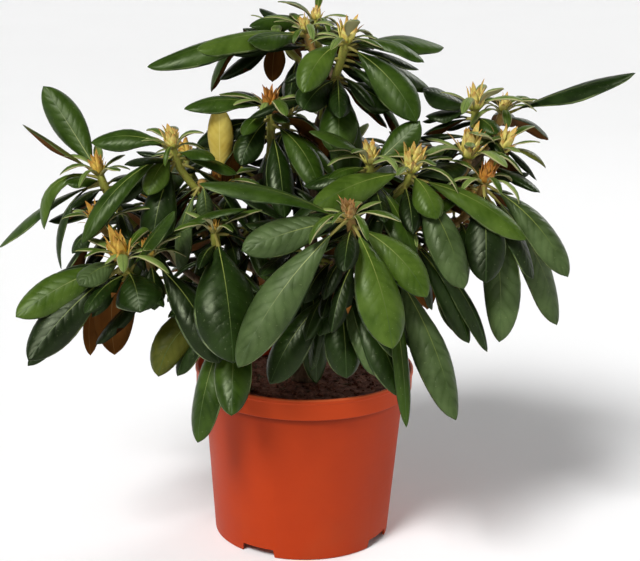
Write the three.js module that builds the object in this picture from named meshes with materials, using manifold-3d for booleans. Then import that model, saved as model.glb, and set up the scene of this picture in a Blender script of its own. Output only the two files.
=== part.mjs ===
import * as THREE from 'three';
import { mergeVertices } from 'three/addons/utils/BufferGeometryUtils.js';
import Module from 'manifold-3d';

// A rhododendron in its nursery pot. Millimetres, +Z up, origin on the ground under the pot's axis.
// A bearing is 0 towards the front (-Y) and 90 to the right (+X). A rise is the angle above level.

const wasm = await Module();
wasm.setup();

// Driving dimensions.
const clearance = 0.3;
const pot = {
  height: 183, rimRadius: 115, rimBand: 23, rimRoll: 3, rimEdge: 1, bandInset: 1.2, bandLip: 2, bandFoot: 1.5,
  bodyRadius: 105.5, footRadius: 92.6, wall: 2.2, floorHeight: 12, floorThick: 2.5, sides: 48,
};
const notch = { count: 4, from: -29, width: 26, height: 8.5, slant: 3, below: 1, depth: 40 };
const soil = { drop: 18, dome: 5, gap: 0.7, shoulderAt: 0.7, shoulderDrop: 0.35, crown: 4, sides: 32 };
const trunk = { flare: 15, flareFade: 8, foot: 10.5, top: 7, height: 122, lean: [6, 8], sides: 10 };
const trunkRings = [0, 4, 10, 20, trunk.height / 2, trunk.height];
const bough = {
  foot: 5, tip: 3.8, sides: 5, steps: 5, reach: 0.62, sag: 0.1, climb: 0.7, lift: 12, pull: 0.4, entry: 0.7,
  entryRise: 20,
};
const twig = {
  foot: 4, tip: 3.4, branchFoot: 3, sides: 4, steps: 3, branch: 0.25, branchStep: 0.12, ahead: 0.1, lead: 0.3,
  tail: 0.4,
};
const leafForm = {
  thinnest: 1.3, perLength: 0.0105, petiole: 0.125, petioleWidth: 2.6, petioleDrop: 0.6, root: 1.2,
  recurve: 0.1, edgeDrop: 0.3, twistEnd: 0.25, widestAt: 0.57, fullness: 0.66, steps: 24,
};
const whorl = { top: 3, step: 2.1, most: 26 };
const longLeaf = { from: 110, rings: [0, 4, 9, 15, 21] };
const midLeaf = { from: 50, rings: [0, 5, 13, 21] };
const shortLeaf = { rings: [0, 5, 13] };
const budForm = {
  length: 27, seat: 0.5, foot: 4.2, waist: 5.4, waistAt: 0.3, spikes: 3, spikeOut: 12, spikeAt: 0.72,
};
const growth = {
  turn: 137.5, seed: 11, seedStep: 17, below: 0.6, rise: 22, fall: 45, riseVary: 12, droop: 40, droopVary: 35,
  length: 85, lengthVary: 40, slim: 0.3, slimVary: 0.08,
};
const potRoom = { step: 4, inside: 6, soil: 4, wall: 3 };
const room = 2;
const finest = 0.03;
const samePoint = 1e-5;
const parallel = 1e-12;

const degrees = Math.PI / 180;
const soilTop = pot.height - soil.drop;

// Each shoot: where its whorl of leaves sits, its tip's bearing and rise, its bud's size, and its leaves.
// A leaf is [bearing, rise at the foot, droop along its length, length, width, face].
// face is how far, in degrees, its upper side is rolled towards the front.
// more is how many further leaves the growth rule adds.
const masses = {
  crown_top: {
    fork: 122,
    shoots: [
      { at: [35, -10, 525], aim: [40, 75], bud: 1, more: 1, leaves: [
        [-35, 5, 70, 85, 36, 35], [55, -15, 45, 110, 44, 40],
        [80, 30, 75, 85, 30, 15], [100, 5, 40, 80, 32],
        [115, 10, 40, 115, 38, 25], [110, 0, 35, 105, 36, 30],
        [140, 55, 85, 50, 36, 10], [160, 35, 60, 85, 34]] },
      { at: [-5, 30, 530], aim: [-60, 70], bud: 0.6, more: 0, leaves: [
        [-85, 0, 25, 165, 42, 25], [-65, 10, 30, 120, 40, 25],
        [-50, 10, 30, 75, 34, 25], [45, 25, 50, 40, 18, 20]] },
      { at: [-35, 70, 525], aim: [-100, 70], bud: 0.5, more: 1, leaves: [
        [-105, 5, 95, 110, 34], [-115, -5, 80, 60, 30], [-165, -20, 80, 65, 30],
        [-60, 35, 40, 45, 28]] },
      { at: [5, 70, 535], aim: [150, 80], bud: 0.65, more: 0, leaves: [
        [-65, 25, 50, 75, 36, 25], [-50, 20, 50, 35, 26, 20],
        [20, 20, 50, 45, 28, 20], [125, 15, 60, 60, 30], [-165, 5, 60, 70, 34],
        [155, 5, 60, 95, 36]] },
      { at: [30, -5, 480], aim: [0, 80], bud: 0, more: 3, leaves: [
        [0, -20, 55, 85, 46], [80, -5, 40, 60, 38, 40],
        [-55, -5, 50, 65, 38, 40]] },
    ],
  },
  upper_left: {
    fork: 105,
    shoots: [
      { at: [-40, 0, 455], aim: [-30, 75], bud: 0.9, more: 3, leaves: [
        [-75, 30, 55, 90, 34, 20], [-130, 35, 55, 70, 36, 20],
        [-30, 15, 60, 55, 20, 20], [25, 30, 60, 40, 20],
        [-35, -15, 50, 65, 34, 30], [-90, 0, 40, 80, 36, 40],
        [110, 30, 110, 70, 36, -30], [40, -5, 60, 100, 36, 20]] },
      { at: [-90, -10, 375], aim: [0, 80], bud: 0.7, more: 2, leaves: [
        [175, 85, 5, 85, 32], [40, 70, 20, 50, 28]] },
    ],
  },
  left_upper: {
    fork: 98,
    shoots: [
      { at: [-135, -35, 420], aim: [-20, 75], bud: 0.9, more: 1, leaves: [
        [-95, 30, 55, 85, 34, 35], [-115, 20, 40, 90, 28],
        [-55, -10, 55, 135, 30, 20], [-35, -10, 60, 55, 32, 20],
        [50, 40, 70, 55, 26, 10], [75, 15, 50, 65, 26, 10],
        [-30, -40, 50, 100, 44, 20], [-80, -10, 40, 80, 36, 30]] },
      { at: [-105, -55, 390], aim: [0, 70], bud: 0, more: 2, leaves: [
        [20, -40, 60, 40, 22], [-60, -45, 50, 95, 30, 10]] },
    ],
  },
  left_middle: {
    fork: 71,
    shoots: [
      { at: [-210, -25, 390], aim: [-48, 76], bud: 0.8, more: 1, leaves: [
        [-125, 50, 5, 110, 40, 55], [-105, 35, 10, 95, 26, -30],
        [-90, 25, 135, 100, 26, 30], [-75, -20, 90, 110, 24],
        [-60, 30, 50, 40, 26, 15], [-115, -15, 35, 155, 32, 20],
        [140, 30, 60, 55, 30]] },
      { at: [-205, -60, 345], aim: [-60, 70], bud: 0.9, more: 2, leaves: [
        [-70, -10, 60, 40, 26, 20]] },
    ],
  },
  left_low: {
    fork: 58,
    shoots: [
      { at: [-180, -100, 320], aim: [-30, 75], bud: 1.2, more: 1, leaves: [
        [-65, -10, 25, 115, 42, 50], [-45, 15, 55, 55, 32, 30],
        [-55, -20, 25, 130, 46, 45], [-75, -30, 30, 135, 38, 30],
        [-155, -20, 100, 120, 50], [-135, -15, 90, 130, 30],
        [20, 10, 75, 60, 56, 20], [80, 55, 20, 80, 24, 40]] },
      { at: [-155, -80, 320], aim: [20, 75], bud: 0.8, more: 1, leaves: [
        [80, 55, 60, 115, 28], [50, -20, 45, 130, 48, 20], [5, -50, 60, 50, 34]] },
    ],
  },
  front_left: {
    fork: 36,
    shoots: [
      { at: [-90, -95, 350], aim: [0, 70], bud: 0.5, more: 1, leaves: [
        [15, -25, 50, 140, 74]] },
      { at: [-70, -70, 260], aim: [-20, 62], bud: 0, more: 1, leaves: [
        [-30, -35, 50, 140, 42], [0, -15, 50, 125, 44],
        [-60, 10, 90, 115, 42, 60], [-60, -20, 60, 95, 32, 20],
        [50, -15, 50, 45, 36, 20]] },
    ],
  },
  centre_low: {
    fork: 46,
    shoots: [
      { at: [40, -150, 380], aim: [-20, 60], bud: 0.8, more: 0, leaves: [
        [-65, -35, 30, 175, 50, 45], [-80, -5, 20, 105, 42, 60],
        [-100, 5, 10, 100, 34, 10], [30, -30, 45, 130, 54, 10],
        [65, -10, 45, 100, 42, 45], [-90, 35, 40, 150, 38, 10]] },
      { at: [30, -90, 290], aim: [0, 60], bud: 0, more: 3, leaves: [
        [-60, -30, 40, 115, 46, 30], [10, -30, 50, 95, 46], [-55, -45, 50, 90, 24],
        [35, -30, 45, 105, 40], [40, -30, 40, 135, 42], [-25, -20, 50, 65, 38]] },
      { at: [0, -45, 315], aim: [0, 55], bud: 0, more: 1, leaves: [
        [-35, -50, 40, 125, 40], [20, -50, 45, 130, 38],
        [-75, -35, 50, 90, 38, 30], [75, -30, 50, 85, 38, 20],
        [-135, -55, 60, 90, 36], [30, 60, 60, 55, 36]] },
      { at: [80, -100, 325], aim: [20, 60], bud: 0, more: 2, leaves: [
        [40, -35, 35, 170, 50, 15], [15, -55, 40, 165, 22],
        [50, -35, 50, 100, 40, 20]] },
    ],
  },
  centre: {
    fork: 90,
    shoots: [
      { at: [60, -70, 415], aim: [-14, 77], bud: 0.9, more: 3, leaves: [
        [-70, 70, 60, 75, 30, 15], [105, 50, -5, 65, 34, 50],
        [-55, 20, 50, 50, 22, 10], [-90, 0, 30, 65, 28, 20],
        [125, 30, 40, 95, 38, 10]] },
      { at: [100, -80, 410], aim: [5, 77], bud: 1.1, more: 1, leaves: [
        [-60, 5, 35, 110, 42, 40], [30, -5, 60, 60, 38, 10],
        [40, -30, 40, 125, 48, 15], [80, -5, 40, 130, 38, 35],
        [125, 25, 40, 75, 36, 20], [-80, -30, 60, 115, 40, 20]] },
      { at: [100, -95, 350], aim: [14, 58], bud: 0.6, more: 1, leaves: [
        [-50, -15, 45, 80, 38, 30], [20, -40, 40, 60, 30],
        [90, -50, 40, 80, 28, 20], [80, -40, 35, 125, 34, 45],
        [80, -30, 45, 145, 26, 35], [-130, -40, 60, 105, 38, 10]] },
    ],
  },
  right_middle: {
    fork: 65,
    shoots: [
      { at: [175, -55, 395], aim: [30, 75], bud: 0.9, more: 3, leaves: [
        [65, -20, 45, 125, 38, 40], [0, -30, 45, 105, 48],
        [90, -40, 40, 165, 46, 50], [25, -50, 45, 155, 44, 40],
        [110, -45, 60, 130, 30, 20]] },
    ],
  },
  right_top: {
    fork: 112,
    shoots: [
      { at: [160, -30, 415], aim: [0, 80], bud: 1.2, more: 0, leaves: [
        [-130, -20, 60, 25, 24]] },
      { at: [195, 0, 415], aim: [40, 70], bud: 1.1, more: 0, leaves: [
        [85, 45, 100, 55, 16, 10], [105, 70, 90, 45, 18], [150, 10, 100, 55, 32],
        [175, 20, 60, 95, 36]] },
      { at: [170, 20, 455], aim: [-20, 80], bud: 1, more: 0, leaves: [
        [-80, 35, 25, 60, 38, 30], [-90, 15, 40, 50, 32, 10],
        [-135, 65, 60, 35, 22], [35, 5, 50, 35, 28, 20],
        [-100, 0, 40, 55, 26, -20]] },
      { at: [200, 35, 450], aim: [30, 75], bud: 0.7, more: 0, leaves: [
        [90, 90, 60, 25, 20], [60, 30, 15, 150, 36, 25], [170, 10, 50, 100, 34],
        [140, 5, 50, 100, 32]] },
    ],
  },
  back_left: { fork: 79, shoots: [
    { at: [-130, 80, 385], aim: [-130, 70], bud: 0.9, more: 7, leaves: [] },
    { at: [-165, 65, 335], aim: [-110, 60], bud: 0.8, more: 6, leaves: [] },
    { at: [-80, 105, 350], aim: [-150, 65], bud: 0.9, more: 7, leaves: [] },
  ] },
  back: { fork: 106, shoots: [
    { at: [-25, 85, 430], aim: [180, 70], bud: 1, more: 7, leaves: [] },
    { at: [40, 118, 380], aim: [170, 60], bud: 0.9, more: 7, leaves: [] },
    { at: [-25, 115, 330], aim: [-170, 55], bud: 0.8, more: 6, leaves: [] },
  ] },
  back_right: { fork: 92, shoots: [
    { at: [100, 75, 395], aim: [130, 70], bud: 1, more: 7, leaves: [] },
    { at: [165, 75, 345], aim: [110, 60], bud: 0.9, more: 6, leaves: [] },
    { at: [100, 108, 345], aim: [150, 60], bud: 0.8, more: 6, leaves: [] },
  ] },
  back_low: { fork: 52, shoots: [
    { at: [-80, 85, 280], aim: [-145, 50], bud: 0.6, more: 6, leaves: [] },
    { at: [80, 85, 285], aim: [145, 50], bud: 0.6, more: 6, leaves: [] },
  ] },
  inner_left: { fork: 88, shoots: [
    { at: [-60, 10, 350], aim: [-60, 60], bud: 0, more: 6, leaves: [] },
    { at: [-115, 25, 320], aim: [-80, 50], bud: 0, more: 6, leaves: [] },
  ] },
  inner_right: { fork: 78, shoots: [
    { at: [70, -30, 350], aim: [60, 60], bud: 0, more: 6, leaves: [] },
    { at: [125, -15, 318], aim: [80, 50], bud: 0, more: 6, leaves: [] },
  ] },
};

// Vectors are plain [x, y, z] lists.
const add = (a, b, k = 1) => [a[0] + b[0] * k, a[1] + b[1] * k, a[2] + b[2] * k];
const minus = (a, b) => [a[0] - b[0], a[1] - b[1], a[2] - b[2]];
const dot = (a, b) => a[0] * b[0] + a[1] * b[1] + a[2] * b[2];
const cross = (a, b) => [a[1] * b[2] - a[2] * b[1], a[2] * b[0] - a[0] * b[2], a[0] * b[1] - a[1] * b[0]];
const length = (a) => Math.sqrt(dot(a, a));
const unit = (a) => a.map((v) => v / length(a));
const mix = (a, b, t) => add(a.map((v) => v * (1 - t)), b, t);

function heading(bearing, rise) {
  const b = bearing * degrees;
  const e = rise * degrees;
  return [Math.sin(b) * Math.cos(e), -Math.cos(b) * Math.cos(e), Math.sin(e)];
}

function bezier(a, b, c, d, t) {
  const s = 1 - t;
  const start = add(a.map((v) => v * s * s * s), b, 3 * s * s * t);
  return add(add(start, c, 3 * s * t * t), d, t * t * t);
}

// The same whole-number generator gives the same plant on any machine.
function seeded(seed) {
  let state = seed;
  return () => {
    state = (Math.imul(state, 1664525) + 1013904223) >>> 0;
    return state / 4294967296;
  };
}

// Closed bodies: rings of points joined in order, with flat ends, or a tip in place of the last ring.
function loft(rings, tip) {
  const places = [];
  const push = (...points) => points.forEach((p) => places.push(...p));
  const count = rings[0].length;
  for (let i = 0; i + 1 < rings.length; i += 1) {
    for (let k = 0; k < count; k += 1) {
      const n = (k + 1) % count;
      push(rings[i][k], rings[i][n], rings[i + 1][n]);
      push(rings[i][k], rings[i + 1][n], rings[i + 1][k]);
    }
  }
  for (let k = 1; k + 1 < count; k += 1) push(rings[0][0], rings[0][k + 1], rings[0][k]);
  const last = rings.at(-1);
  if (tip) for (let k = 0; k < count; k += 1) push(last[k], last[(k + 1) % count], tip);
  else for (let k = 1; k + 1 < count; k += 1) push(last[0], last[k], last[k + 1]);
  const geometry = new THREE.BufferGeometry();
  geometry.setAttribute('position', new THREE.Float32BufferAttribute(places, 3));
  return geometry;
}

function ring(centre, along, radius, sides) {
  const side = unit(cross(along, Math.abs(along[2]) > 0.9 ? [0, 1, 0] : [0, 0, 1]));
  const up = cross(side, along);
  return Array.from({ length: sides }, (_, k) => {
    const a = 2 * Math.PI * k / sides;
    return add(add(centre, side, radius * Math.cos(a)), up, -radius * Math.sin(a));
  });
}

// A limb's end faces can be turned to a given direction, so that two limbs meet face to face.
function limbRings(path, foot, tip, sides, { start, end } = {}) {
  const last = path.length - 1;
  return path.map((p, i) => {
    const chord = unit(minus(path[Math.min(i + 1, last)], path[Math.max(i - 1, 0)]));
    const along = (i === 0 && start) || (i === last && end) || chord;
    return ring(p, along, foot + (tip - foot) * i / last, sides);
  });
}

function toSolid(geometry) {
  const plain = geometry.clone();
  plain.deleteAttribute('normal');
  plain.deleteAttribute('uv');
  const merged = mergeVertices(plain, samePoint);
  return new wasm.Manifold(new wasm.Mesh({
    numProp: 3,
    vertProperties: Float32Array.from(merged.attributes.position.array),
    triVerts: Uint32Array.from(merged.index.array),
  }));
}

// Numbers that are joined in groups: find gives the one that stands for a number's group.
function groups(count) {
  const joined = Array.from({ length: count }, (_, i) => i);
  const find = (number) => {
    let i = number;
    while (joined[i] !== i) i = joined[i];
    joined[number] = i;
    return i;
  };
  const join = (a, b) => { joined[find(b)] = find(a); };
  return { find, join };
}

const pointOf = (places, i) => [places[3 * i], places[3 * i + 1], places[3 * i + 2]];

// Corners closer together than the finest detail become one, and the faces that this closes up go.
function weld(places, faces) {
  const { find, join } = groups(places.length / 3);
  for (let k = 0; k < faces.length; k += 3) {
    for (let e = 0; e < 3; e += 1) {
      const a = faces[k + e];
      const b = faces[k + (e + 1) % 3];
      if (length(minus(pointOf(places, a), pointOf(places, b))) < finest) join(a, b);
    }
  }
  const open = new Map();
  for (let k = 0; k < faces.length; k += 3) {
    const face = [find(faces[k]), find(faces[k + 1]), find(faces[k + 2])];
    if (new Set(face).size < 3) continue;
    const name = [...face].sort((a, b) => a - b).join();
    if (open.has(name)) open.delete(name);
    else open.set(name, face);
  }
  return [...open.values()].flat();
}

// Pockets that crossing leaves seal off are filled: only the shells that face outwards are kept.
function outerFaces(places, faces) {
  const { find: shellOf, join } = groups(places.length / 3);
  for (let k = 0; k < faces.length; k += 3) {
    join(faces[k], faces[k + 1]);
    join(faces[k], faces[k + 2]);
  }
  const point = (i) => pointOf(places, i);
  const volumes = new Map();
  for (let k = 0; k < faces.length; k += 3) {
    const shell = shellOf(faces[k]);
    const share = dot(point(faces[k]), cross(point(faces[k + 1]), point(faces[k + 2])));
    volumes.set(shell, (volumes.get(shell) ?? 0) + share);
  }
  return faces.filter((_, k) => volumes.get(shellOf(faces[k - k % 3])) > 0);
}

function toGeometry(solid) {
  const { vertProperties: places, triVerts } = solid.getMesh();
  const geometry = new THREE.BufferGeometry();
  geometry.setAttribute('position', new THREE.BufferAttribute(places, 3));
  geometry.setIndex(outerFaces(places, weld(places, triVerts)));
  return geometry;
}

// LatheGeometry turns about Y, so its axis is laid onto Z.
function lathe(outline, sides) {
  const points = outline.map(([r, z]) => new THREE.Vector2(r, z));
  return new THREE.LatheGeometry(points, sides).rotateX(Math.PI / 2);
}

const underBand = pot.height - pot.rimBand;
const outerWall = (z) => pot.footRadius + (pot.bodyRadius - pot.footRadius) * z / underBand;
const innerWall = (z) => outerWall(z) - pot.wall;

// Pot: a tapering shell with a rolled rim band, a raised floor and four notches cut in its skirt.
function potGeometry() {
  const band = pot.rimRadius - pot.bandInset;
  const ledge = underBand + pot.wall + pot.rimEdge;
  const floorTop = pot.floorHeight + pot.floorThick;
  let body = toSolid(lathe([
    [innerWall(0), 0], [outerWall(0), 0], [outerWall(underBand), underBand], [band - pot.bandLip, underBand],
    [band, underBand + pot.bandFoot], [pot.rimRadius, pot.height - pot.rimEdge],
    [pot.rimRadius - pot.rimEdge, pot.height], [pot.rimRadius - pot.rimRoll, pot.height],
    [band - pot.wall, ledge], [innerWall(underBand), ledge], [innerWall(floorTop), floorTop], [0, floorTop],
    [0, pot.floorHeight], [innerWall(pot.floorHeight), pot.floorHeight], [innerWall(0), 0],
  ], pot.sides));
  const half = pot.footRadius * Math.sin(notch.width / 2 * degrees);
  const top = half - notch.slant;
  const shape = new THREE.Shape([
    new THREE.Vector2(-half, -notch.below), new THREE.Vector2(half, -notch.below),
    new THREE.Vector2(top, notch.height), new THREE.Vector2(-top, notch.height)]);
  for (let k = 0; k < notch.count; k += 1) {
    const cutter = new THREE.ExtrudeGeometry(shape, { depth: notch.depth, bevelEnabled: false });
    cutter.rotateX(Math.PI / 2);
    cutter.translate(0, notch.depth / 2 - pot.footRadius, 0);
    cutter.rotateZ((notch.from + 360 * k / notch.count) * degrees);
    body = body.subtract(toSolid(cutter));
  }
  return toGeometry(body);
}

// Soil fills the pot, a little domed towards the stem, clear of the wall all round.
function soilGeometry() {
  const side = (z) => innerWall(z) - soil.gap;
  const low = pot.floorHeight + pot.floorThick + clearance;
  const edge = soilTop - soil.dome;
  return lathe([
    [0, low], [side(low), low], [side(edge), edge],
    [side(edge) * soil.shoulderAt, soilTop - soil.dome * soil.shoulderDrop],
    [trunk.flare + soil.crown, soilTop], [0, soilTop]], soil.sides);
}

// The stem stands on the soil, flared at its foot, and leans a little.
const trunkPoint = (height) => [
  trunk.lean[0] * height / trunk.height, trunk.lean[1] * height / trunk.height, soilTop + clearance + height];
const trunkRadius = (height) => trunk.foot + (trunk.top - trunk.foot) * height / trunk.height
  + (trunk.flare - trunk.foot) * Math.exp(-height / trunk.flareFade);

function trunkGeometry(extra = 0) {
  return loft(trunkRings.map((h) => ring(trunkPoint(h), [0, 0, 1], trunkRadius(h) + extra, trunk.sides)));
}

// A bough leaves the stem at its fork and ends where its mass begins; the mass's own stem goes on from there.
function route(mass) {
  const middle = mass.shoots.reduce((sum, s) => add(sum, s.at, 1 / mass.shoots.length), [0, 0, 0]);
  const start = trunkPoint(mass.fork);
  const end = mix(start, middle, bough.reach);
  end[2] -= bough.sag * length(minus(middle, start));
  const way = minus(end, start);
  const out = unit([way[0], way[1], bough.climb * Math.abs(way[2]) + bough.lift]);
  const into = unit(add(minus(middle, end), [0, 0, bough.entryRise]));
  const pull = bough.pull * length(way);
  const lead = add(start, out, pull);
  const tail = add(end, into, -pull * bough.entry);
  const path = [];
  for (let i = 0; i <= bough.steps; i += 1) path.push(bezier(start, lead, tail, end, i / bough.steps));
  return { path, end, into };
}

// The first shoot carries on the mass's stem, and the others branch from it one after another.
function shootPaths(way, shoots) {
  const start = add(way.end, way.into, clearance);
  const curve = (from, toward, shoot) => {
    const span = length(minus(shoot.at, from));
    const lead = add(from, toward, span * twig.lead);
    const tail = add(shoot.at, heading(...shoot.aim), -span * twig.tail);
    return (t) => bezier(from, lead, tail, shoot.at, t);
  };
  const stem = curve(start, way.into, shoots[0]);
  return shoots.map((shoot, i) => {
    const t = twig.branch + twig.branchStep * i;
    const from = stem(t);
    const along = unit(minus(stem(t + twig.ahead), from));
    const limb = i ? curve(from, along, shoot) : stem;
    return Array.from({ length: twig.steps + 1 }, (_, k) => limb(k / twig.steps));
  });
}

// A leaf: its spine bends down by its droop; stations give place, direction, side and upper face.
function leafStations(base, [bearing, rise, droop, long, , face = 0]) {
  const steps = leafForm.steps;
  const stations = [];
  let place = base;
  for (let i = 0; i <= steps; i += 1) {
    const t = i / steps;
    const along = heading(bearing, rise - droop * t);
    const b = bearing * degrees;
    const flat = [Math.cos(b), Math.sin(b), 0];
    const up = cross(along, flat);
    const turn = face * degrees * Math.sign(Math.sin(b)) * Math.min(1, t / leafForm.twistEnd);
    const side = add(flat.map((v) => v * Math.cos(turn)), up, Math.sin(turn));
    const over = add(up.map((v) => v * Math.cos(turn)), flat, -Math.sin(turn));
    stations.push({ t, place, along, side, up: over });
    place = add(place, heading(bearing, rise - droop * (t + 0.5 / steps)), long / steps);
  }
  return stations;
}

function halfWidth(t, width) {
  const s = (t - leafForm.petiole) / (1 - leafForm.petiole);
  if (s <= 0) return leafForm.petioleWidth / 2;
  const power = Math.log(0.5) / Math.log(leafForm.widestAt);
  const blade = width / 2 * Math.sin(Math.PI * s ** power) ** leafForm.fullness;
  return Math.max(blade, leafForm.petioleWidth / 2 * (1 - s));
}

const leafThickness = (long) => Math.max(leafForm.thinnest, leafForm.perLength * long);

function leafGeometry(base, leaf) {
  const [, , , long, width] = leaf;
  const stations = leafStations(base, leaf);
  const size = [longLeaf, midLeaf].find(({ from }) => long > from) ?? shortLeaf;
  const thick = leafThickness(long) / 2;
  const rings = size.rings.map((i) => {
    const { t, place, side, up } = stations[i];
    const half = halfWidth(t, width);
    const petiole = t < leafForm.petiole;
    const drop = petiole ? half * leafForm.petioleDrop : leafForm.recurve * half + thick * leafForm.edgeDrop;
    return [
      add(place, up, petiole ? half : thick),
      add(add(place, side, -half), up, -drop), add(add(place, side, half), up, -drop)];
  });
  return loft(rings, stations.at(-1).place);
}

// A bud is a pointed body whose outer bracts stand off as spikes.
function budGeometry(shoot, path, extra = 0) {
  const aim = unit(minus(path.at(-1), path.at(-2)));
  const long = budForm.length * shoot.bud;
  const sides = 2 * budForm.spikes;
  const foot = ring(add(shoot.at, aim, -budForm.seat), aim, budForm.foot + extra, sides);
  const waistRadius = budForm.waist * shoot.bud + extra;
  const spikeRadius = budForm.spikeOut * shoot.bud + extra;
  const waist = ring(add(shoot.at, aim, long * budForm.waistAt), aim, waistRadius, sides);
  const spikes = ring(add(shoot.at, aim, long * budForm.spikeAt), aim, spikeRadius, sides);
  return loft([foot, waist.map((p, k) => (k % 2 ? p : spikes[k]))], add(shoot.at, aim, long + extra));
}

// The sheet a leaf lies in: three points across at each of a few stations, a little wider than the leaf.
const sheetPicks = [1, 3, 7, 11, 15, 19, 22, 24];
const bladeFrom = 2;
const spread = 0.8;

function sheetRows(stations, width, from, rise) {
  return sheetPicks.slice(from).map((i) => {
    const { t, place, side, up } = stations[i];
    const half = halfWidth(t, width);
    const low = add(place, up, rise - leafForm.recurve * half);
    return [add(low, side, -half - spread), add(place, up, rise), add(low, side, half + spread)];
  });
}

function strip(a, b) {
  return a.slice(1).flatMap((p, i) => [[a[i], p, b[i + 1]], [a[i], b[i + 1], b[i]]]);
}

const sheet = (rows) => rows.slice(1).flatMap((row, i) => strip(rows[i], row));

// The room a leaf takes from later ones: its sheet lowered and raised, and walled all round.
function slab(stations, width, from) {
  const low = sheetRows(stations, width, from, -room);
  const high = sheetRows(stations, width, from, room);
  const edge = (rows, k) => rows.map((row) => row[k]);
  return [
    ...sheet(low), ...sheet(high), ...strip(edge(low, 0), edge(high, 0)),
    ...strip(edge(low, 2), edge(high, 2)), ...strip(low.at(-1), high.at(-1))];
}

function tubeFaces(path, radius, sides) {
  const rings = limbRings(path, radius, radius, sides);
  const faces = [];
  for (let i = 0; i + 1 < rings.length; i += 1) {
    for (let k = 0; k < sides; k += 1) {
      const n = (k + 1) % sides;
      faces.push([rings[i][k], rings[i][n], rings[i + 1][n]]);
      faces.push([rings[i][k], rings[i + 1][n], rings[i + 1][k]]);
    }
  }
  return faces;
}

function facesOf(geometry) {
  const places = geometry.attributes.position;
  const corner = (i) => [places.getX(i), places.getY(i), places.getZ(i)];
  const count = places.count / 3;
  return Array.from({ length: count }, (_, k) => [corner(3 * k), corner(3 * k + 1), corner(3 * k + 2)]);
}

function boxOf(points) {
  return [0, 1, 2].flatMap((axis) => {
    const values = points.map((p) => p[axis]);
    return [Math.min(...values), Math.max(...values)];
  });
}

const boxesMeet = (a, b) => [0, 2, 4].every((i) => a[i] < b[i + 1] && b[i] < a[i + 1]);
const boxed = (faces) => ({ faces: faces.map((f) => ({ f, box: boxOf(f) })), box: boxOf(faces.flat()) });

function edgeCrosses(p, q, [a, b, c]) {
  const way = minus(q, p);
  const ab = minus(b, a);
  const ac = minus(c, a);
  const h = cross(way, ac);
  const det = dot(ab, h);
  if (Math.abs(det) < parallel) return false;
  const s = minus(p, a);
  const u = dot(s, h) / det;
  if (u < 0 || u > 1) return false;
  const k = cross(s, ab);
  const v = dot(way, k) / det;
  if (v < 0 || u + v > 1) return false;
  const t = dot(ac, k) / det;
  return t >= 0 && t <= 1;
}

function facesCross(f, g) {
  for (let k = 0; k < 3; k += 1) {
    if (edgeCrosses(f[k], f[(k + 1) % 3], g)) return true;
    if (edgeCrosses(g[k], g[(k + 1) % 3], f)) return true;
  }
  return false;
}

function shapesMeet(a, b) {
  if (!boxesMeet(a.box, b.box)) return false;
  return a.faces.some((f) => boxesMeet(f.box, b.box)
    && b.faces.some((g) => boxesMeet(f.box, g.box) && facesCross(f.f, g.f)));
}

// A leaf keeps off the pot's wall and rim, and off the soil.
function meetsPot(faces) {
  return faces.some(([a, b, c]) => [[a, b], [b, c], [c, a]].some(([p, q]) => {
    const count = Math.ceil(length(minus(q, p)) / potRoom.step);
    for (let i = 0; i <= count; i += 1) {
      const [x, y, z] = mix(p, q, i / count);
      const out = Math.hypot(x, y);
      const nearWall = out < pot.rimRadius + potRoom.wall && z < pot.height + potRoom.wall;
      if (out < pot.bodyRadius - potRoom.inside ? z < soilTop + potRoom.soil : nearWall) return true;
    }
    return false;
  }));
}

// Growth. Leaves are set in order, and a leaf whose place is taken gives way by a few degrees or is left out.
const grown = Object.entries(masses).map(([name, mass]) => {
  const way = route(mass);
  const paths = shootPaths(way, mass.shoots);
  return { name, mass, way, shoots: mass.shoots.map((shoot, i) => ({ shoot, path: paths[i], leaves: [] })) };
});

const taken = [];
grown.forEach(({ way, shoots }) => {
  taken.push({ shape: boxed(tubeFaces(way.path, bough.foot + room, bough.sides)) });
  shoots.forEach((s) => {
    taken.push({ shape: boxed(tubeFaces(s.path, twig.foot + room, twig.sides)), shoot: s });
    if (s.shoot.bud) taken.push({ shape: boxed(facesOf(budGeometry(s.shoot, s.path, room))), shoot: s });
  });
});
const trunkPath = [0, trunk.height / 2, trunk.height].map(trunkPoint);
taken.push({ shape: boxed(tubeFaces(trunkPath, trunk.foot + room, trunk.sides)) });

const rises = [0, 5, -5, 10, -10, 15, -15, 20, -20, 30, -30];
const sways = [0, 7, -7, 14, -14, 21, -21];
const giveWay = rises.flatMap((rise) => sways.map((sway) => [rise, sway]))
  .sort((a, b) => Math.abs(a[0]) + Math.abs(a[1]) - Math.abs(b[0]) - Math.abs(b[1]));

// Leaves sit one below another: the place that lies a given way back from a path's tip.
function backFrom(path, way) {
  let left = way;
  for (let i = path.length - 1; i > 0; i -= 1) {
    const step = minus(path[i - 1], path[i]);
    const span = length(step);
    if (left <= span) return add(path[i], step, left / span);
    left -= span;
  }
  return path[0];
}

function leafBase(s, index, bearing) {
  const way = Math.min(whorl.top + whorl.step * index, whorl.most);
  return add(backFrom(s.path, way), heading(bearing, 0), leafForm.root);
}

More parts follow.
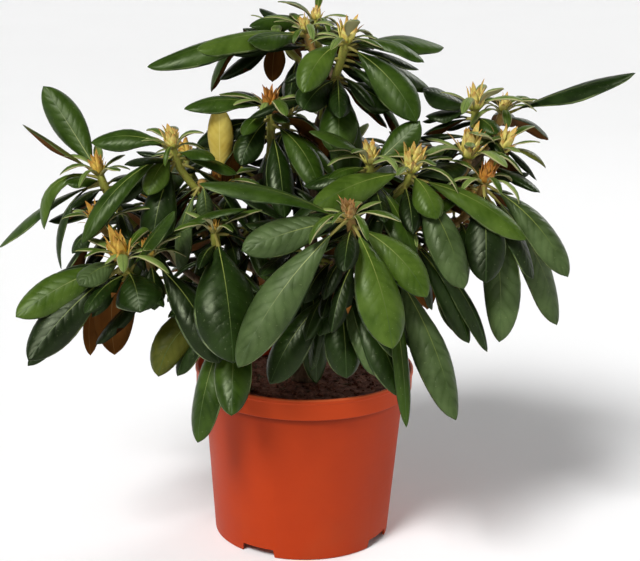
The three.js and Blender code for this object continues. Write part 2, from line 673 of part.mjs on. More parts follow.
function settle(s, leaf, index) {
  for (const [rise, sway] of giveWay) {
    const tried = [leaf[0] + sway, leaf[1] + rise, ...leaf.slice(2)];
    const base = leafBase(s, index, tried[0]);
    const stations = leafStations(base, tried);
    const width = tried[4];
    const whole = boxed(sheet(sheetRows(stations, width, 0, 0)));
    const blade = boxed(sheet(sheetRows(stations, width, bladeFrom, 0)));
    if (meetsPot(whole.faces.map((f) => f.f))) continue;
    const met = taken.some((other) => {
      const mine = other.shoot === s ? blade : whole;
      return shapesMeet(mine, other.shoot === s && other.blade ? other.blade : other.shape);
    });
    if (met) continue;
    const [shape, bladeShape] = [0, bladeFrom].map((from) => boxed(slab(stations, width, from)));
    taken.push({ shape, blade: bladeShape, shoot: s });
    s.leaves.push({ base, leaf: tried });
    return;
  }
}

grown.forEach(({ shoots }) => shoots.forEach((s) => s.shoot.leaves.forEach((leaf, i) => settle(s, leaf, i))));

// Further leaves turn by the golden angle, rising near the tip and drooping lower down.
let { seed } = growth;
grown.forEach(({ shoots }) => shoots.forEach((s) => {
  const random = seeded(seed);
  seed += growth.seedStep;
  const turn = random() * 360;
  const first = s.shoot.leaves.length ? growth.below : 0;
  for (let i = 0; i < s.shoot.more; i += 1) {
    const share = first + (1 - first) * i / Math.max(1, s.shoot.more - 1);
    const rise = growth.rise - growth.fall * share + growth.riseVary * random();
    const droop = growth.droop + growth.droopVary * random();
    const long = growth.length + growth.lengthVary * random();
    const width = long * (growth.slim + growth.slimVary * random());
    settle(s, [turn + growth.turn * i, rise, droop, long, width], s.leaves.length);
  }
}));

// Nodes.
const paint = (color, roughness) => new THREE.MeshStandardMaterial({ color, roughness, metalness: 0 });
const finishes = {
  pot: paint(0xb4462a, 0.4), soil: paint(0x2c1a16, 1), bark: paint(0x6b5138, 0.9),
  leaf: [paint(0x2f5a26, 0.45), paint(0x3b6a2c, 0.45), paint(0x26481f, 0.45)],
};
const plant = new THREE.Group();

function addNode(name, geometry, material) {
  const mesh = new THREE.Mesh(geometry, material);
  mesh.name = name;
  plant.add(mesh);
}

addNode('pot', potGeometry(), finishes.pot);
addNode('soil', soilGeometry(), finishes.soil);
addNode('trunk', trunkGeometry(), finishes.bark);
const trunkRoom = toSolid(trunkGeometry(clearance));
grown.forEach(({ name, way, shoots }, index) => {
  const limb = loft(limbRings(way.path, bough.foot, bough.tip, bough.sides, { end: way.into }));
  addNode(`bough_${name}`, toGeometry(toSolid(limb).subtract(trunkRoom)), finishes.bark);
  const parts = shoots.flatMap((s, i) => {
    const [foot, ends] = i ? [twig.branchFoot, {}] : [twig.foot, { start: way.into }];
    const stem = loft(limbRings(s.path, foot, twig.tip, twig.sides, ends));
    const leaves = s.leaves.map(({ base, leaf }) => leafGeometry(base, leaf));
    const buds = s.shoot.bud ? [budGeometry(s.shoot, s.path)] : [];
    return [stem, ...leaves, ...buds].map(toSolid);
  });
  const joined = wasm.Manifold.union(parts);
  addNode(name, toGeometry(joined), finishes.leaf[index % finishes.leaf.length]);
});

export default plant;
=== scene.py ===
# A rhododendron in its nursery pot: bark, twigs, leaves, buds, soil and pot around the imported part.
# Metres in the scene. The plant is grown in millimetres by the part's own rule, and scaled when meshed.
# A bearing is 0 towards the front (-Y) and 90 to the right (+X). A rise is the angle above level.

import math

import bmesh
import bpy
import numpy as np
from mathutils import Matrix, Vector, noise
from mathutils.bvhtree import BVHTree


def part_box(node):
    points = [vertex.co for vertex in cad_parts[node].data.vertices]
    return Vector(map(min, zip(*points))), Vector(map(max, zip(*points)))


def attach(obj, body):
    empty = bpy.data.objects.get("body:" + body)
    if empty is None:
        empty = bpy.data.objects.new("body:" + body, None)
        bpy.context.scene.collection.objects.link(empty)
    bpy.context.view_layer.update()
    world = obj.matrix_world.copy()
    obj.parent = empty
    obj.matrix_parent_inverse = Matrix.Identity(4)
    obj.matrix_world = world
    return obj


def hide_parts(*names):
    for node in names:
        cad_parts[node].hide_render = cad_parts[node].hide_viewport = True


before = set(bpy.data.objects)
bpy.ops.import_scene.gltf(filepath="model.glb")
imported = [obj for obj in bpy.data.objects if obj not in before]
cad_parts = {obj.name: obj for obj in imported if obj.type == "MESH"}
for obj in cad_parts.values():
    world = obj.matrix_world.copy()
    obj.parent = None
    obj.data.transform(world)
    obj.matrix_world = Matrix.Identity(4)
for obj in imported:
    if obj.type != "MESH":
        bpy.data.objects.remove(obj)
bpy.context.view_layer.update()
mm = 0.001
print("frame loaded:", len(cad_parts), "nodes")


def tint(red, green, blue):
    # a screen colour from 0 to 255 as a linear one
    parts = [v / 255 for v in (red, green, blue)]
    return tuple(v / 12.92 if v <= 0.04045 else ((v + 0.055) / 1.055) ** 2.4 for v in parts) + (1.0,)


def grey(level):
    return (level, level, level, 1.0)


def operator(operation, reflected=False):
    # the method behind a sign such as +, which adds a Math node
    def make(wire, other):
        values = (other, wire) if reflected else (wire, other)
        return wire.finish.maths(operation, *values)
    return make


class Wire:
    # one socket of a material
    def __init__(self, finish, socket):
        self.finish = finish
        self.socket = socket

    __add__ = operator("ADD")
    __radd__ = operator("ADD", True)
    __sub__ = operator("SUBTRACT")
    __rsub__ = operator("SUBTRACT", True)
    __mul__ = operator("MULTIPLY")
    __rmul__ = operator("MULTIPLY", True)
    __pow__ = operator("POWER")

    def __abs__(self):
        return self.finish.maths("ABSOLUTE", self)


class Finish:
    # a material: what is the same all over is set on its shader, and nodes make what varies
    def __init__(self, name, gloss, glossTint=grey(1)):
        self.material = bpy.data.materials.new(name)
        self.material.use_nodes = True
        self.tree = self.material.node_tree
        self.shader = self.tree.nodes["Principled BSDF"]
        self.shader.inputs["Specular IOR Level"].default_value = gloss
        self.shader.inputs["Specular Tint"].default_value = glossTint

    def node(self, kind, settings, sockets, output=0):
        made = self.tree.nodes.new(kind)
        for name, value in settings.items():
            if name == "stops":
                self.setStops(made.color_ramp.elements, value)
            else:
                setattr(made, name, value)
        for name, value in sockets.items():
            self.put(made.inputs[name], value)
        return Wire(self, made.outputs[output])

    def setStops(self, elements, stops):
        while len(elements) < len(stops):
            elements.new(0.5)
        for element, (place, colour) in zip(elements, stops):
            element.position = place
            element.color = colour

    def put(self, socket, value):
        if isinstance(value, Wire):
            self.tree.links.new(value.socket, socket)
        else:
            socket.default_value = value

    def maths(self, operation, *values, clamp=False):
        settings = {"operation": operation, "use_clamp": clamp}
        return self.node("ShaderNodeMath", settings, dict(enumerate(values)))

    def mapped(self, axis):
        # X runs along a leaf or a bract, and Y across it
        leafMap = self.node("ShaderNodeUVMap", {"uv_map": "leaf"}, {})
        return self.node("ShaderNodeSeparateXYZ", {}, {0: leafMap}, axis)

    def place(self):
        return self.node("ShaderNodeTexCoord", {}, {}, "Object")

    def level(self, low, high, atLow=0.0, atHigh=1.0):
        # a value that changes with the height, from low to high
        height = self.node("ShaderNodeSeparateXYZ", {}, {0: self.place()}, "Z")
        sockets = {"Value": height, "From Min": low, "From Max": high, "To Min": atLow, "To Max": atHigh}
        return self.node("ShaderNodeMapRange", {}, sockets)

    def grain(self, scale, detail=2, roughness=0.5, upright=None):
        # upright squeezes or stretches the grain in height
        at = self.place()
        if upright:
            at = self.node("ShaderNodeMapping", {}, {"Vector": at, "Scale": (1, 1, upright)})
        sockets = {"Vector": at, "Scale": scale, "Detail": detail, "Roughness": roughness}
        return self.node("ShaderNodeTexNoise", {}, sockets, "Fac")

    def flecks(self, low, high, *grain):
        # specks where the grain is strong: none under low, full from high on
        return self.ramp(self.grain(*grain), (low, grey(0)), (high, grey(1)))

    def blend(self, share, first, second):
        return self.node("ShaderNodeMix", {"data_type": "RGBA"}, {0: share, 6: first, 7: second}, 2)

    def ramp(self, value, *stops):
        return self.node("ShaderNodeValToRGB", {"stops": stops}, {"Fac": value}, "Color")

    def bump(self, height, strength, distance, under=None):
        sockets = {"Height": height, "Strength": strength, "Distance": distance}
        if under:
            sockets["Normal"] = under
        return self.node("ShaderNodeBump", {}, sockets)

    def coat(self, colour, roughness, normal=None):
        self.put(self.shader.inputs["Base Color"], colour)
        self.put(self.shader.inputs["Roughness"], roughness)
        if normal:
            self.put(self.shader.inputs["Normal"], normal)
        return self.material


# The tone between the veins is a painted sheen on the bulges of the quilted blade.
blades = {  # upper sides: darker and lighter tone, tone between the veins, roughness, depth of the veins
    "fresh": ((48, 70, 12), (70, 92, 26), (86, 108, 40), 0.37, 1),
    "green": ((26, 46, 4), (46, 68, 12), (62, 84, 24), 0.36, 1),
    "dark": ((12, 26, 3), (26, 44, 8), (38, 58, 16), 0.33, 1.2),
    # deep: the leaf green painted darker, painted shade for leaves inside the crown
    "deep": ((8, 19, 2), (18, 32, 5), (26, 42, 10), 0.36, 1.3),
    # silver: a paler grey-green with strong lighter patches, a painted sheen
    "silver": ((42, 58, 24), (68, 86, 46), (94, 110, 70), 0.42, 2),
    "olive": ((50, 56, 8), (80, 82, 20), (92, 90, 34), 0.38, 1),
    "yellow": ((188, 158, 58), (212, 194, 98), (218, 202, 112), 0.45, 1),
    "young": ((76, 100, 34), (116, 134, 66), (140, 152, 92), 0.5, 1),
}
# tone is how far the bulges take the painted sheen tone
veins = {"pairs": 11, "sweep": 0.17, "stray": 0.9, "tone": 0.26, "relief": 0.0009, "strength": 0.16}


def bladeFinish(kind):
    low, high, between, roughness, depth = blades[kind]
    finish = Finish("leaf_" + kind, 0.26, (0.88, 1.0, 0.66, 1.0))
    out = abs(finish.mapped("Y") - 0.5) * 2
    phase = (finish.mapped("X") - out * veins["sweep"]) * veins["pairs"] + finish.grain(60) * veins["stray"]
    wave = finish.maths("PINGPONG", phase, 0.5) * 2
    quilt = (1 - (1 - wave) ** 2) * (1 - out ** 4)
    # patches of the darker and lighter tone; on silver leaves the lighter patches are painted sheen
    patches = finish.flecks(0.36, 0.64, 38, 3, 0.55)
    # painted sheen: the bulges between the veins take the lighter tone
    share = finish.maths("MULTIPLY", quilt * veins["tone"], finish.grain(16) + 0.2, clamp=True)
    colour = finish.blend(share, finish.blend(patches, tint(*low), tint(*high)), tint(*between))
    colour = finish.blend(finish.flecks(0.68, 0.76, 540) * 0.22, colour, tint(158, 166, 120))
    relief = finish.bump(finish.grain(60), 0.2, 0.004)
    relief = finish.bump(quilt, veins["strength"] * depth, veins["relief"], relief)
    pores = finish.bump(finish.grain(900), 0.12, 0.0004, relief)
    return finish.coat(colour, roughness - 0.05 + 0.16 * patches, pores)


def feltFinish(name, low, high):
    # the woolly brown coat of the undersides
    finish = Finish(name, 0.15)
    hairs = finish.grain(1400, 4, 0.7)
    colour = finish.blend(finish.grain(55, 3) * 0.6 + hairs * 0.4, tint(*low), tint(*high))
    return finish.coat(colour, 0.82 + 0.15 * hairs, finish.bump(hairs, 0.3, 0.0005))


def ribFinish(name, low, high, roughness=0.5):
    finish = Finish(name, 0.4)
    streaks = finish.grain(260, 3)
    colour = finish.blend(streaks, tint(*low), tint(*high))
    return finish.coat(colour, roughness + 0.15 * streaks, finish.bump(streaks, 0.2, 0.0004))


def marginHighlightFinish():
    # the leaf's rolled margin: a painted highlight here and there, elsewhere as green as the blade
    finish = Finish("leaf_edge", 0.3)
    streaks = finish.grain(260, 3)
    colour = finish.ramp(finish.grain(42, 3, 0.6), (0.44, tint(34, 54, 12)), (0.68, tint(118, 134, 80)))
    return finish.coat(colour, 0.4 + 0.15 * streaks, finish.bump(streaks, 0.2, 0.0004))


def midribFinish():
    # pale by the stalk and fading into the blade towards the tip
    finish = Finish("leaf_rib", 0.36)
    streaks = finish.grain(260, 3)
    share = finish.maths("MULTIPLY_ADD", finish.mapped("X"), 1.35, streaks * 0.3 - 0.25, clamp=True)
    colour = finish.blend(share, tint(142, 152, 70), tint(52, 74, 26))
    return finish.coat(colour, 0.42 + 0.12 * streaks, finish.bump(streaks, 0.15, 0.0004))


def barkFinish():
    finish = Finish("bark", 0.25)
    cracks = finish.grain(260, 5, 0.65, 0.25)
    colour = finish.ramp(cracks, (0.3, tint(38, 28, 20)), (0.5, tint(92, 72, 52)), (0.72, tint(134, 112, 86)))
    colour = finish.blend(finish.grain(45, 3) * 0.5, colour, tint(84, 78, 58))
    return finish.coat(colour, 0.75 + 0.2 * cracks, finish.bump(cracks, 0.7, 0.0012))


def stemFinish(name, low, high):
    # green wood: smooth, a little downy, with rusty flecks
    finish = Finish(name, 0.35)
    streaks = finish.grain(190, 4, 0.6, 0.3)
    colour = finish.blend(streaks, tint(*low), tint(*high))
    colour = finish.blend(finish.flecks(0.56, 0.7, 620, 3) * 0.6, colour, tint(128, 72, 34))
    return finish.coat(colour, 0.5 + 0.2 * streaks, finish.bump(streaks, 0.35, 0.0006))


leafFinishes = {kind: bladeFinish(kind) for kind in blades}
leafFinishes.update({
    "rib": midribFinish(),
    "ribYellow": ribFinish("leaf_rib_yellow", (206, 188, 96), (226, 212, 130)),
    "edge": marginHighlightFinish(),
    "petiole": ribFinish("leaf_petiole", (112, 116, 44), (156, 140, 72)),
    "felt": feltFinish("leaf_felt", (62, 36, 8), (122, 76, 24)),
    "feltRib": ribFinish("leaf_felt_rib", (104, 72, 28), (140, 104, 48), 0.7),
    "feltYoung": feltFinish("leaf_felt_young", (136, 134, 84), (188, 184, 140)),
})
stemFinishes = {
    "wood": barkFinish(),
    "green": stemFinish("stem_green", (112, 122, 40), (158, 156, 66)),
    "tawny": stemFinish("stem_tawny", (120, 96, 44), (160, 128, 62)),
}
print("plant finishes made")


def shootAt(at, aim, bud, more, *placed):
    # where its whorl of leaves sits, the bearing and rise of its tip, its bud's size, how many further leaves
    # the growth rule adds, and the leaves that have a place of their own
    return {"at": np.array(at, float), "family": at, "aim": aim, "bud": bud, "more": more, "placed": placed,
            "leaves": []}


def massFrom(fork, tone, *shoots):
    # the height of its bough's fork on the stem, and the tone of its buds
    return {"fork": fork, "tone": tone, "shoots": list(shoots), "sideTwigs": []}


# A leaf is (bearing, rise at the foot, droop along its length, length, width, kind, face).
# face is how far, in degrees, its upper side is rolled towards the front.
# Kind deep is painted shade: leaves inside the crown painted darker than their lit green.
# Kind silver is a painted sheen: paler grey-green leaves with lighter patches.
masses = {
    "crown_top": massFrom(122, "cream",
        shootAt((35, -10, 525), (40, 75), 1, 1,
            (-35, 5, 70, 85, 36, "fresh", 35), (55, -15, 45, 110, 44, "green", 40),
            (80, 30, 75, 85, 30, "green", 15), (100, 5, 40, 80, 32, "dark"),
            (115, 10, 40, 115, 38, "green", 25), (110, 0, 35, 105, 36, "green", 30),
            (140, 55, 85, 50, 36, "dark", 10), (160, 35, 60, 85, 34, "green")),
        shootAt((-5, 30, 530), (-60, 70), 0.6, 0,
            (-85, 0, 25, 165, 42, "green", 25), (-65, 10, 30, 120, 40, "fresh", 25),
            (-50, 10, 30, 75, 34, "green", 25), (45, 25, 50, 40, 18, "green", 20)),
        shootAt((-35, 70, 525), (-100, 70), 0.5, 1,
            (-105, 5, 95, 110, 34, "green"), (-115, -5, 80, 60, 30, "green"),
            (-165, -20, 80, 65, 30, "green"), (-60, 35, 40, 45, 28, "dark")),
        shootAt((5, 70, 535), (150, 80), 0.65, 0,
            (-65, 25, 50, 75, 36, "green", 25), (-50, 20, 50, 35, 26, "dark", 20),
            (20, 20, 50, 45, 28, "dark", 20), (125, 15, 60, 60, 30, "dark"), (-165, 5, 60, 70, 34, "green"),
            (155, 5, 60, 95, 36, "green")),
        shootAt((30, -5, 480), (0, 80), 0, 3,
            (0, -20, 55, 85, 46, "green"), (80, -5, 40, 60, 38, "dark", 40),
            (-55, -5, 50, 65, 38, "dark", 40))),
    "upper_left": massFrom(105, "rust",
        shootAt((-40, 0, 455), (-30, 75), 0.9, 3,
            (-75, 30, 55, 90, 34, "green", 20), (-130, 35, 55, 70, 36, "dark", 20),
            (-30, 15, 60, 55, 20, "green", 20), (25, 30, 60, 40, 20, "green"),
            (-35, -15, 50, 65, 34, "dark", 30), (-90, 0, 40, 80, 36, "dark", 40),
            (110, 30, 110, 70, 36, "dark", -30), (40, -5, 60, 100, 36, "green", 20)),
        shootAt((-90, -10, 375), (0, 80), 0.7, 2,
            (175, 85, 5, 85, 32, "yellow"), (40, 70, 20, 50, 28, "dark"))),
    "left_upper": massFrom(98, "cream",
        shootAt((-135, -35, 420), (-20, 75), 0.9, 1,
            (-95, 30, 55, 85, 34, "green", 35), (-115, 20, 40, 90, 28, "dark"),
            (-55, -10, 55, 135, 30, "green", 20), (-35, -10, 60, 55, 32, "fresh", 20),
            (50, 40, 70, 55, 26, "green", 10), (75, 15, 50, 65, 26, "green", 10),
            (-30, -40, 50, 100, 44, "dark", 20), (-80, -10, 40, 80, 36, "dark", 30)),
        shootAt((-105, -55, 390), (0, 70), 0, 2,
            (20, -40, 60, 40, 22, "silver"), (-60, -45, 50, 95, 30, "silver", 10))),
    "left_middle": massFrom(71, "amber",
        shootAt((-210, -25, 390), (-48, 76), 0.8, 1,
            (-125, 50, 5, 110, 40, "green", 55), (-105, 35, 10, 95, 26, "olive", -30),
            (-90, 25, 135, 100, 26, "fresh", 30), (-75, -20, 90, 110, 24, "dark"),
            (-60, 30, 50, 40, 26, "green", 15), (-115, -15, 35, 155, 32, "green", 20),
            (140, 30, 60, 55, 30, "dark")),
        shootAt((-205, -60, 345), (-60, 70), 0.9, 2,
            (-70, -10, 60, 40, 26, "dark", 20))),
    "left_low": massFrom(58, "amber",
        shootAt((-180, -100, 320), (-30, 75), 1.2, 1,
            (-65, -10, 25, 115, 42, "fresh", 50), (-45, 15, 55, 55, 32, "silver", 30),
            (-55, -20, 25, 130, 46, "deep", 45), (-75, -30, 30, 135, 38, "deep", 30),
            (-155, -20, 100, 120, 50, "green"), (-135, -15, 90, 130, 30, "dark"),
            (20, 10, 75, 60, 56, "dark", 20), (80, 55, 20, 80, 24, "green", 40)),
        shootAt((-155, -80, 320), (20, 75), 0.8, 1,
            (80, 55, 60, 115, 28, "green"), (50, -20, 45, 130, 48, "deep", 20),
            (5, -50, 60, 50, 34, "dark"))),
    "front_left": massFrom(36, "amber",
        shootAt((-90, -95, 350), (0, 70), 0.5, 1,
            (15, -25, 50, 140, 74, "dark")),
        shootAt((-70, -70, 260), (-20, 62), 0, 1,
            (-30, -35, 50, 140, 42, "green"), (0, -15, 50, 125, 44, "green"),
            (-60, 10, 90, 115, 42, "olive", 60), (-60, -20, 60, 95, 32, "dark", 20),
            (50, -15, 50, 45, 36, "dark", 20))),
    "centre_low": massFrom(46, "tawny",
        shootAt((40, -150, 380), (-20, 60), 0.8, 0,
            (-65, -35, 30, 175, 50, "silver", 45), (-80, -5, 20, 105, 42, "silver", 60),
            (-100, 5, 10, 100, 34, "dark", 10), (30, -30, 45, 130, 54, "fresh", 10),
            (65, -10, 45, 100, 42, "fresh", 45), (-90, 35, 40, 150, 38, "green", 10)),
        shootAt((30, -90, 290), (0, 60), 0, 3,
            (-60, -30, 40, 115, 46, "dark", 30), (10, -30, 50, 95, 46, "dark"),
            (-55, -45, 50, 90, 24, "dark"), (35, -30, 45, 105, 40, "silver"), (40, -30, 40, 135, 42, "dark"),
            (-25, -20, 50, 65, 38, "dark")),
        shootAt((0, -45, 315), (0, 55), 0, 1,
            (-35, -50, 40, 125, 40, "dark"), (20, -50, 45, 130, 38, "dark"),
            (-75, -35, 50, 90, 38, "dark", 30), (75, -30, 50, 85, 38, "dark", 20),
            (-135, -55, 60, 90, 36, "dark"), (30, 60, 60, 55, 36, "dark")),
        shootAt((80, -100, 325), (20, 60), 0, 2,
            (40, -35, 35, 170, 50, "silver", 15), (15, -55, 40, 165, 22, "green"),
            (50, -35, 50, 100, 40, "dark", 20))),
    "centre": massFrom(90, "cream",
        shootAt((60, -70, 415), (-14, 77), 0.9, 3,
            (-70, 70, 60, 75, 30, "green", 15), (105, 50, -5, 65, 34, "green", 50),
            (-55, 20, 50, 50, 22, "green", 10), (-90, 0, 30, 65, 28, "dark", 20),
            (125, 30, 40, 95, 38, "green", 10)),
        shootAt((100, -80, 410), (5, 77), 1.1, 1,
            (-60, 5, 35, 110, 42, "fresh", 40), (30, -5, 60, 60, 38, "fresh", 10),
            (40, -30, 40, 125, 48, "silver", 15), (80, -5, 40, 130, 38, "fresh", 35),
            (125, 25, 40, 75, 36, "dark", 20), (-80, -30, 60, 115, 40, "dark", 20)),
        shootAt((100, -95, 350), (14, 58), 0.6, 1,
            (-50, -15, 45, 80, 38, "fresh", 30), (20, -40, 40, 60, 30, "silver"),
            (90, -50, 40, 80, 28, "dark", 20), (80, -40, 35, 125, 34, "dark", 45),
            (80, -30, 45, 145, 26, "dark", 35), (-130, -40, 60, 105, 38, "dark", 10))),
    "right_middle": massFrom(65, "rust",
        shootAt((175, -55, 395), (30, 75), 0.9, 3,
            (65, -20, 45, 125, 38, "silver", 40), (0, -30, 45, 105, 48, "deep"),
            (90, -40, 40, 165, 46, "silver", 50), (25, -50, 45, 155, 44, "silver", 40),
            (110, -45, 60, 130, 30, "dark", 20))),
    "right_top": massFrom(112, "cream",
        shootAt((160, -30, 415), (0, 80), 1.2, 0,
            (-130, -20, 60, 25, 24, "dark")),
        shootAt((195, 0, 415), (40, 70), 1.1, 0,
            (85, 45, 100, 55, 16, "olive", 10), (105, 70, 90, 45, 18, "green"),
            (150, 10, 100, 55, 32, "dark"), (175, 20, 60, 95, 36, "dark")),
        shootAt((170, 20, 455), (-20, 80), 1, 0,
            (-80, 35, 25, 60, 38, "dark", 30), (-90, 15, 40, 50, 32, "dark", 10),
            (-135, 65, 60, 35, 22, "dark"), (35, 5, 50, 35, 28, "green", 20),
            (-100, 0, 40, 55, 26, "dark", -20)),
        shootAt((200, 35, 450), (30, 75), 0.7, 0,
            (90, 90, 60, 25, 20, "green"), (60, 30, 15, 150, 36, "dark", 25), (170, 10, 50, 100, 34, "dark"),
            (140, 5, 50, 100, 32, "dark"))),
    "back_left": massFrom(79, "amber",
        shootAt((-130, 80, 385), (-130, 70), 0.9, 7),
        shootAt((-165, 65, 335), (-110, 60), 0.8, 6),
        shootAt((-80, 105, 350), (-150, 65), 0.9, 7)),
    "back": massFrom(106, "cream",
        shootAt((-25, 85, 430), (180, 70), 1, 7),
        shootAt((40, 118, 380), (170, 60), 0.9, 7),
        shootAt((-25, 115, 330), (-170, 55), 0.8, 6)),
    "back_right": massFrom(92, "amber",
        shootAt((100, 75, 395), (130, 70), 1, 7),
        shootAt((165, 75, 345), (110, 60), 0.9, 6),
        shootAt((100, 108, 345), (150, 60), 0.8, 6)),
    "back_low": massFrom(52, "rust",
        shootAt((-80, 85, 280), (-145, 50), 0.6, 6),
        shootAt((80, 85, 285), (145, 50), 0.6, 6)),
    "inner_left": massFrom(88, None,
        shootAt((-60, 10, 350), (-60, 60), 0, 6),
        shootAt((-115, 25, 320), (-80, 50), 0, 6)),
    "inner_right": massFrom(78, None,
        shootAt((70, -30, 350), (60, 60), 0, 6),
        shootAt((125, -15, 318), (80, 50), 0, 6)),
}

# the sizes of the wood, in millimetres, as the part has them
clearance = 0.3
room = 2
soilTop = 165
trunk = {
    "flare": 15, "flareFade": 8, "foot": 10.5, "top": 7, "height": 122, "lean": (6, 8), "start": 165.3,
    "sides": 10,
}
bough = {
    "foot": 5, "tip": 3.8, "sides": 5, "steps": 5, "reach": 0.62, "sag": 0.1, "climb": 0.7, "lift": 12,
    "pull": 0.4, "entry": 0.7, "entryRise": 20,
}
twig = {
    "foot": 4, "tip": 3.4, "branchFoot": 3, "sides": 4, "steps": 3, "branch": 0.25, "branchStep": 0.12,
    "ahead": 0.1, "lead": 0.3, "tail": 0.4, "line": 25,
}


def unit(v):
    return v / np.linalg.norm(v)


def between(first, last, share):
    # the value that lies that share of the way from first to last
    return first + (last - first) * share


def heading(bearing, rise):
    b = math.radians(bearing)
    e = math.radians(rise)
    return np.array((math.sin(b) * math.cos(e), -math.cos(b) * math.cos(e), math.sin(e)))


def bezier(a, b, c, d, t):
    t = np.asarray(t, float)[..., None]
    s = 1 - t
    return a * s ** 3 + 3 * b * s * s * t + 3 * c * s * t * t + d * t ** 3


def seeded(seed):
    # the same whole-number generator as the part's
    state = seed
    while True:
        state = (state * 1664525 + 1013904223) % 2 ** 32
        yield state / 2 ** 32


def drawn(random, base, vary):
    # somewhere from base to base + vary
    return base + vary * next(random)


def ring(centre, along, radius, sides):
    side = unit(np.cross(along, (0, 1, 0) if abs(along[2]) > 0.9 else (0, 0, 1)))
    up = np.cross(side, along)
    turn = 2 * math.pi * np.arange(sides)[:, None] / sides
    return centre + radius * (side * np.cos(turn) - up * np.sin(turn))


def chords(path):
    # the way a path runs at each place: along the chord between the place's neighbours
    last = len(path) - 1
    return [unit(path[min(i + 1, last)] - path[max(i - 1, 0)]) for i in range(last + 1)]


def tubeRings(path, radii, sides):
    return np.array([ring(*place, sides) for place in zip(path, chords(path), radii)])


def trunkPoint(height):
    lean = np.array(trunk["lean"]) * height / trunk["height"]
    return np.array((lean[0], lean[1], trunk["start"] + height))


def trunkRadius(height):
    taper = (trunk["top"] - trunk["foot"]) * height / trunk["height"]
    flare = (trunk["flare"] - trunk["foot"]) * math.exp(-height / trunk["flareFade"])
    return trunk["foot"] + taper + flare


def layBough(mass):
    # a bough leaves the stem at its fork and ends where its mass begins
    middle = np.mean([shoot["at"] for shoot in mass["shoots"]], axis=0)
    start = trunkPoint(mass["fork"])
    end = start + (middle - start) * bough["reach"]
    end[2] -= bough["sag"] * np.linalg.norm(middle - start)
    way = end - start
    out = unit(np.array((way[0], way[1], bough["climb"] * abs(way[2]) + bough["lift"])))
    into = unit(middle - end + np.array((0, 0, bough["entryRise"])))
    pull = bough["pull"] * np.linalg.norm(way)
    controls = (start, start + out * pull, end - into * pull * bough["entry"], end)
    mass.update(bough=lambda t: bezier(*controls, t), end=end, into=into)


def layShoots(mass):
    # the first shoot carries on the mass's stem, and the others branch from it one after another
    def curve(origin, toward, shoot):
        at = shoot["at"]
        span = np.linalg.norm(at - origin)
        tail = at - heading(*shoot["aim"]) * span * twig["tail"]
        return lambda t: bezier(origin, origin + toward * span * twig["lead"], tail, at, t)

    first, *others = mass["shoots"]
    stem = curve(mass["end"] + mass["into"] * clearance, mass["into"], first)
    first["curve"] = stem
    for i, shoot in enumerate(others, 1):
        t = twig["branch"] + twig["branchStep"] * i
        shoot["curve"] = curve(stem(t), unit(stem(t + twig["ahead"]) - stem(t)), shoot)
    for shoot in mass["shoots"]:
        shoot["path"] = shoot["curve"](np.linspace(0, 1, twig["steps"] + 1))
        shoot["line"] = shoot["curve"](np.linspace(0, 1, twig["line"]))


leafForm = {
    "petiole": 0.125, "petioleWidth": 2.6, "root": 1.2, "recurve": 0.1, "twistEnd": 0.25, "widestAt": 0.57,
    "fullness": 0.66, "spread": 0.8, "rows": (1, 3, 7, 11, 15, 19, 22, 24), "stalkRows": 2,
}


def spine(base, leaf, t):
    # places along a leaf, with its side and upper directions there
    bearing, rise, droop, long = leaf[:4]
    face = leaf[6] if len(leaf) > 6 else 0
    b = math.radians(bearing)
    foot = math.radians(rise)
    bend = math.radians(droop)
    angle = foot - bend * t
    out = (math.sin(foot) - np.sin(angle)) / bend
    climb = (np.cos(angle) - math.cos(foot)) / bend
    ahead = np.array((math.sin(b), -math.cos(b), 0))
    flat = np.array((math.cos(b), math.sin(b), 0))
    place = base + long * (ahead * out[:, None] + np.array((0, 0, 1)) * climb[:, None])
    along = ahead * np.cos(angle)[:, None] + np.array((0, 0, 1)) * np.sin(angle)[:, None]
    up = np.cross(along, flat)
    turn = (math.radians(face) * np.sign(math.sin(b)) * np.minimum(1, t / leafForm["twistEnd"]))[:, None]
    return place, flat * np.cos(turn) + up * np.sin(turn), up * np.cos(turn) - flat * np.sin(turn)


def halfWidth(t, width):
    s = (t - leafForm["petiole"]) / (1 - leafForm["petiole"])
    power = math.log(0.5) / math.log(leafForm["widestAt"])
    blade = width / 2 * np.sin(math.pi * np.clip(s, 0, 1) ** power) ** leafForm["fullness"]
    stalk = leafForm["petioleWidth"] / 2
    return np.where(s <= 0, stalk, np.maximum(blade, stalk * (1 - s)))


class Shape:
    # faces in the crown with the box round them, for finding what meets what
    def __init__(self, places, faces):
        self.places = places
        corners = places.reshape(-1, 3)
        self.low = corners.min(0)
        self.high = corners.max(0)
        self.tree = BVHTree.FromPolygons(corners.tolist(), faces)

    def within(self, bounds):
        return (self.low > bounds[0]).all() and (self.high < bounds[1]).all()


def gridFaces(rows, columns, closed=False):
    faces = []
    for r in range(rows - 1):
        for k in range(columns if closed else columns - 1):
            n = (k + 1) % columns
            a, b, c, d = r * columns + k, r * columns + n, (r + 1) * columns + n, (r + 1) * columns + k
            faces.extend(((a, b, c), (a, c, d)))
    return faces


def sheetRows(base, leaf, skip, rise):
    t = (np.array(leafForm["rows"]) / 24)[skip:]
    place, side, up = spine(base, leaf, t)
    half = halfWidth(t, leaf[4])[:, None]
    low = place + up * (rise - leafForm["recurve"] * half)
    out = side * (half + leafForm["spread"])
    return np.stack((low - out, place + up * rise, low + out), 1)


def sheet(base, leaf, skip=0):
    rows = sheetRows(base, leaf, skip, 0)
    return Shape(rows, gridFaces(len(rows), 3))


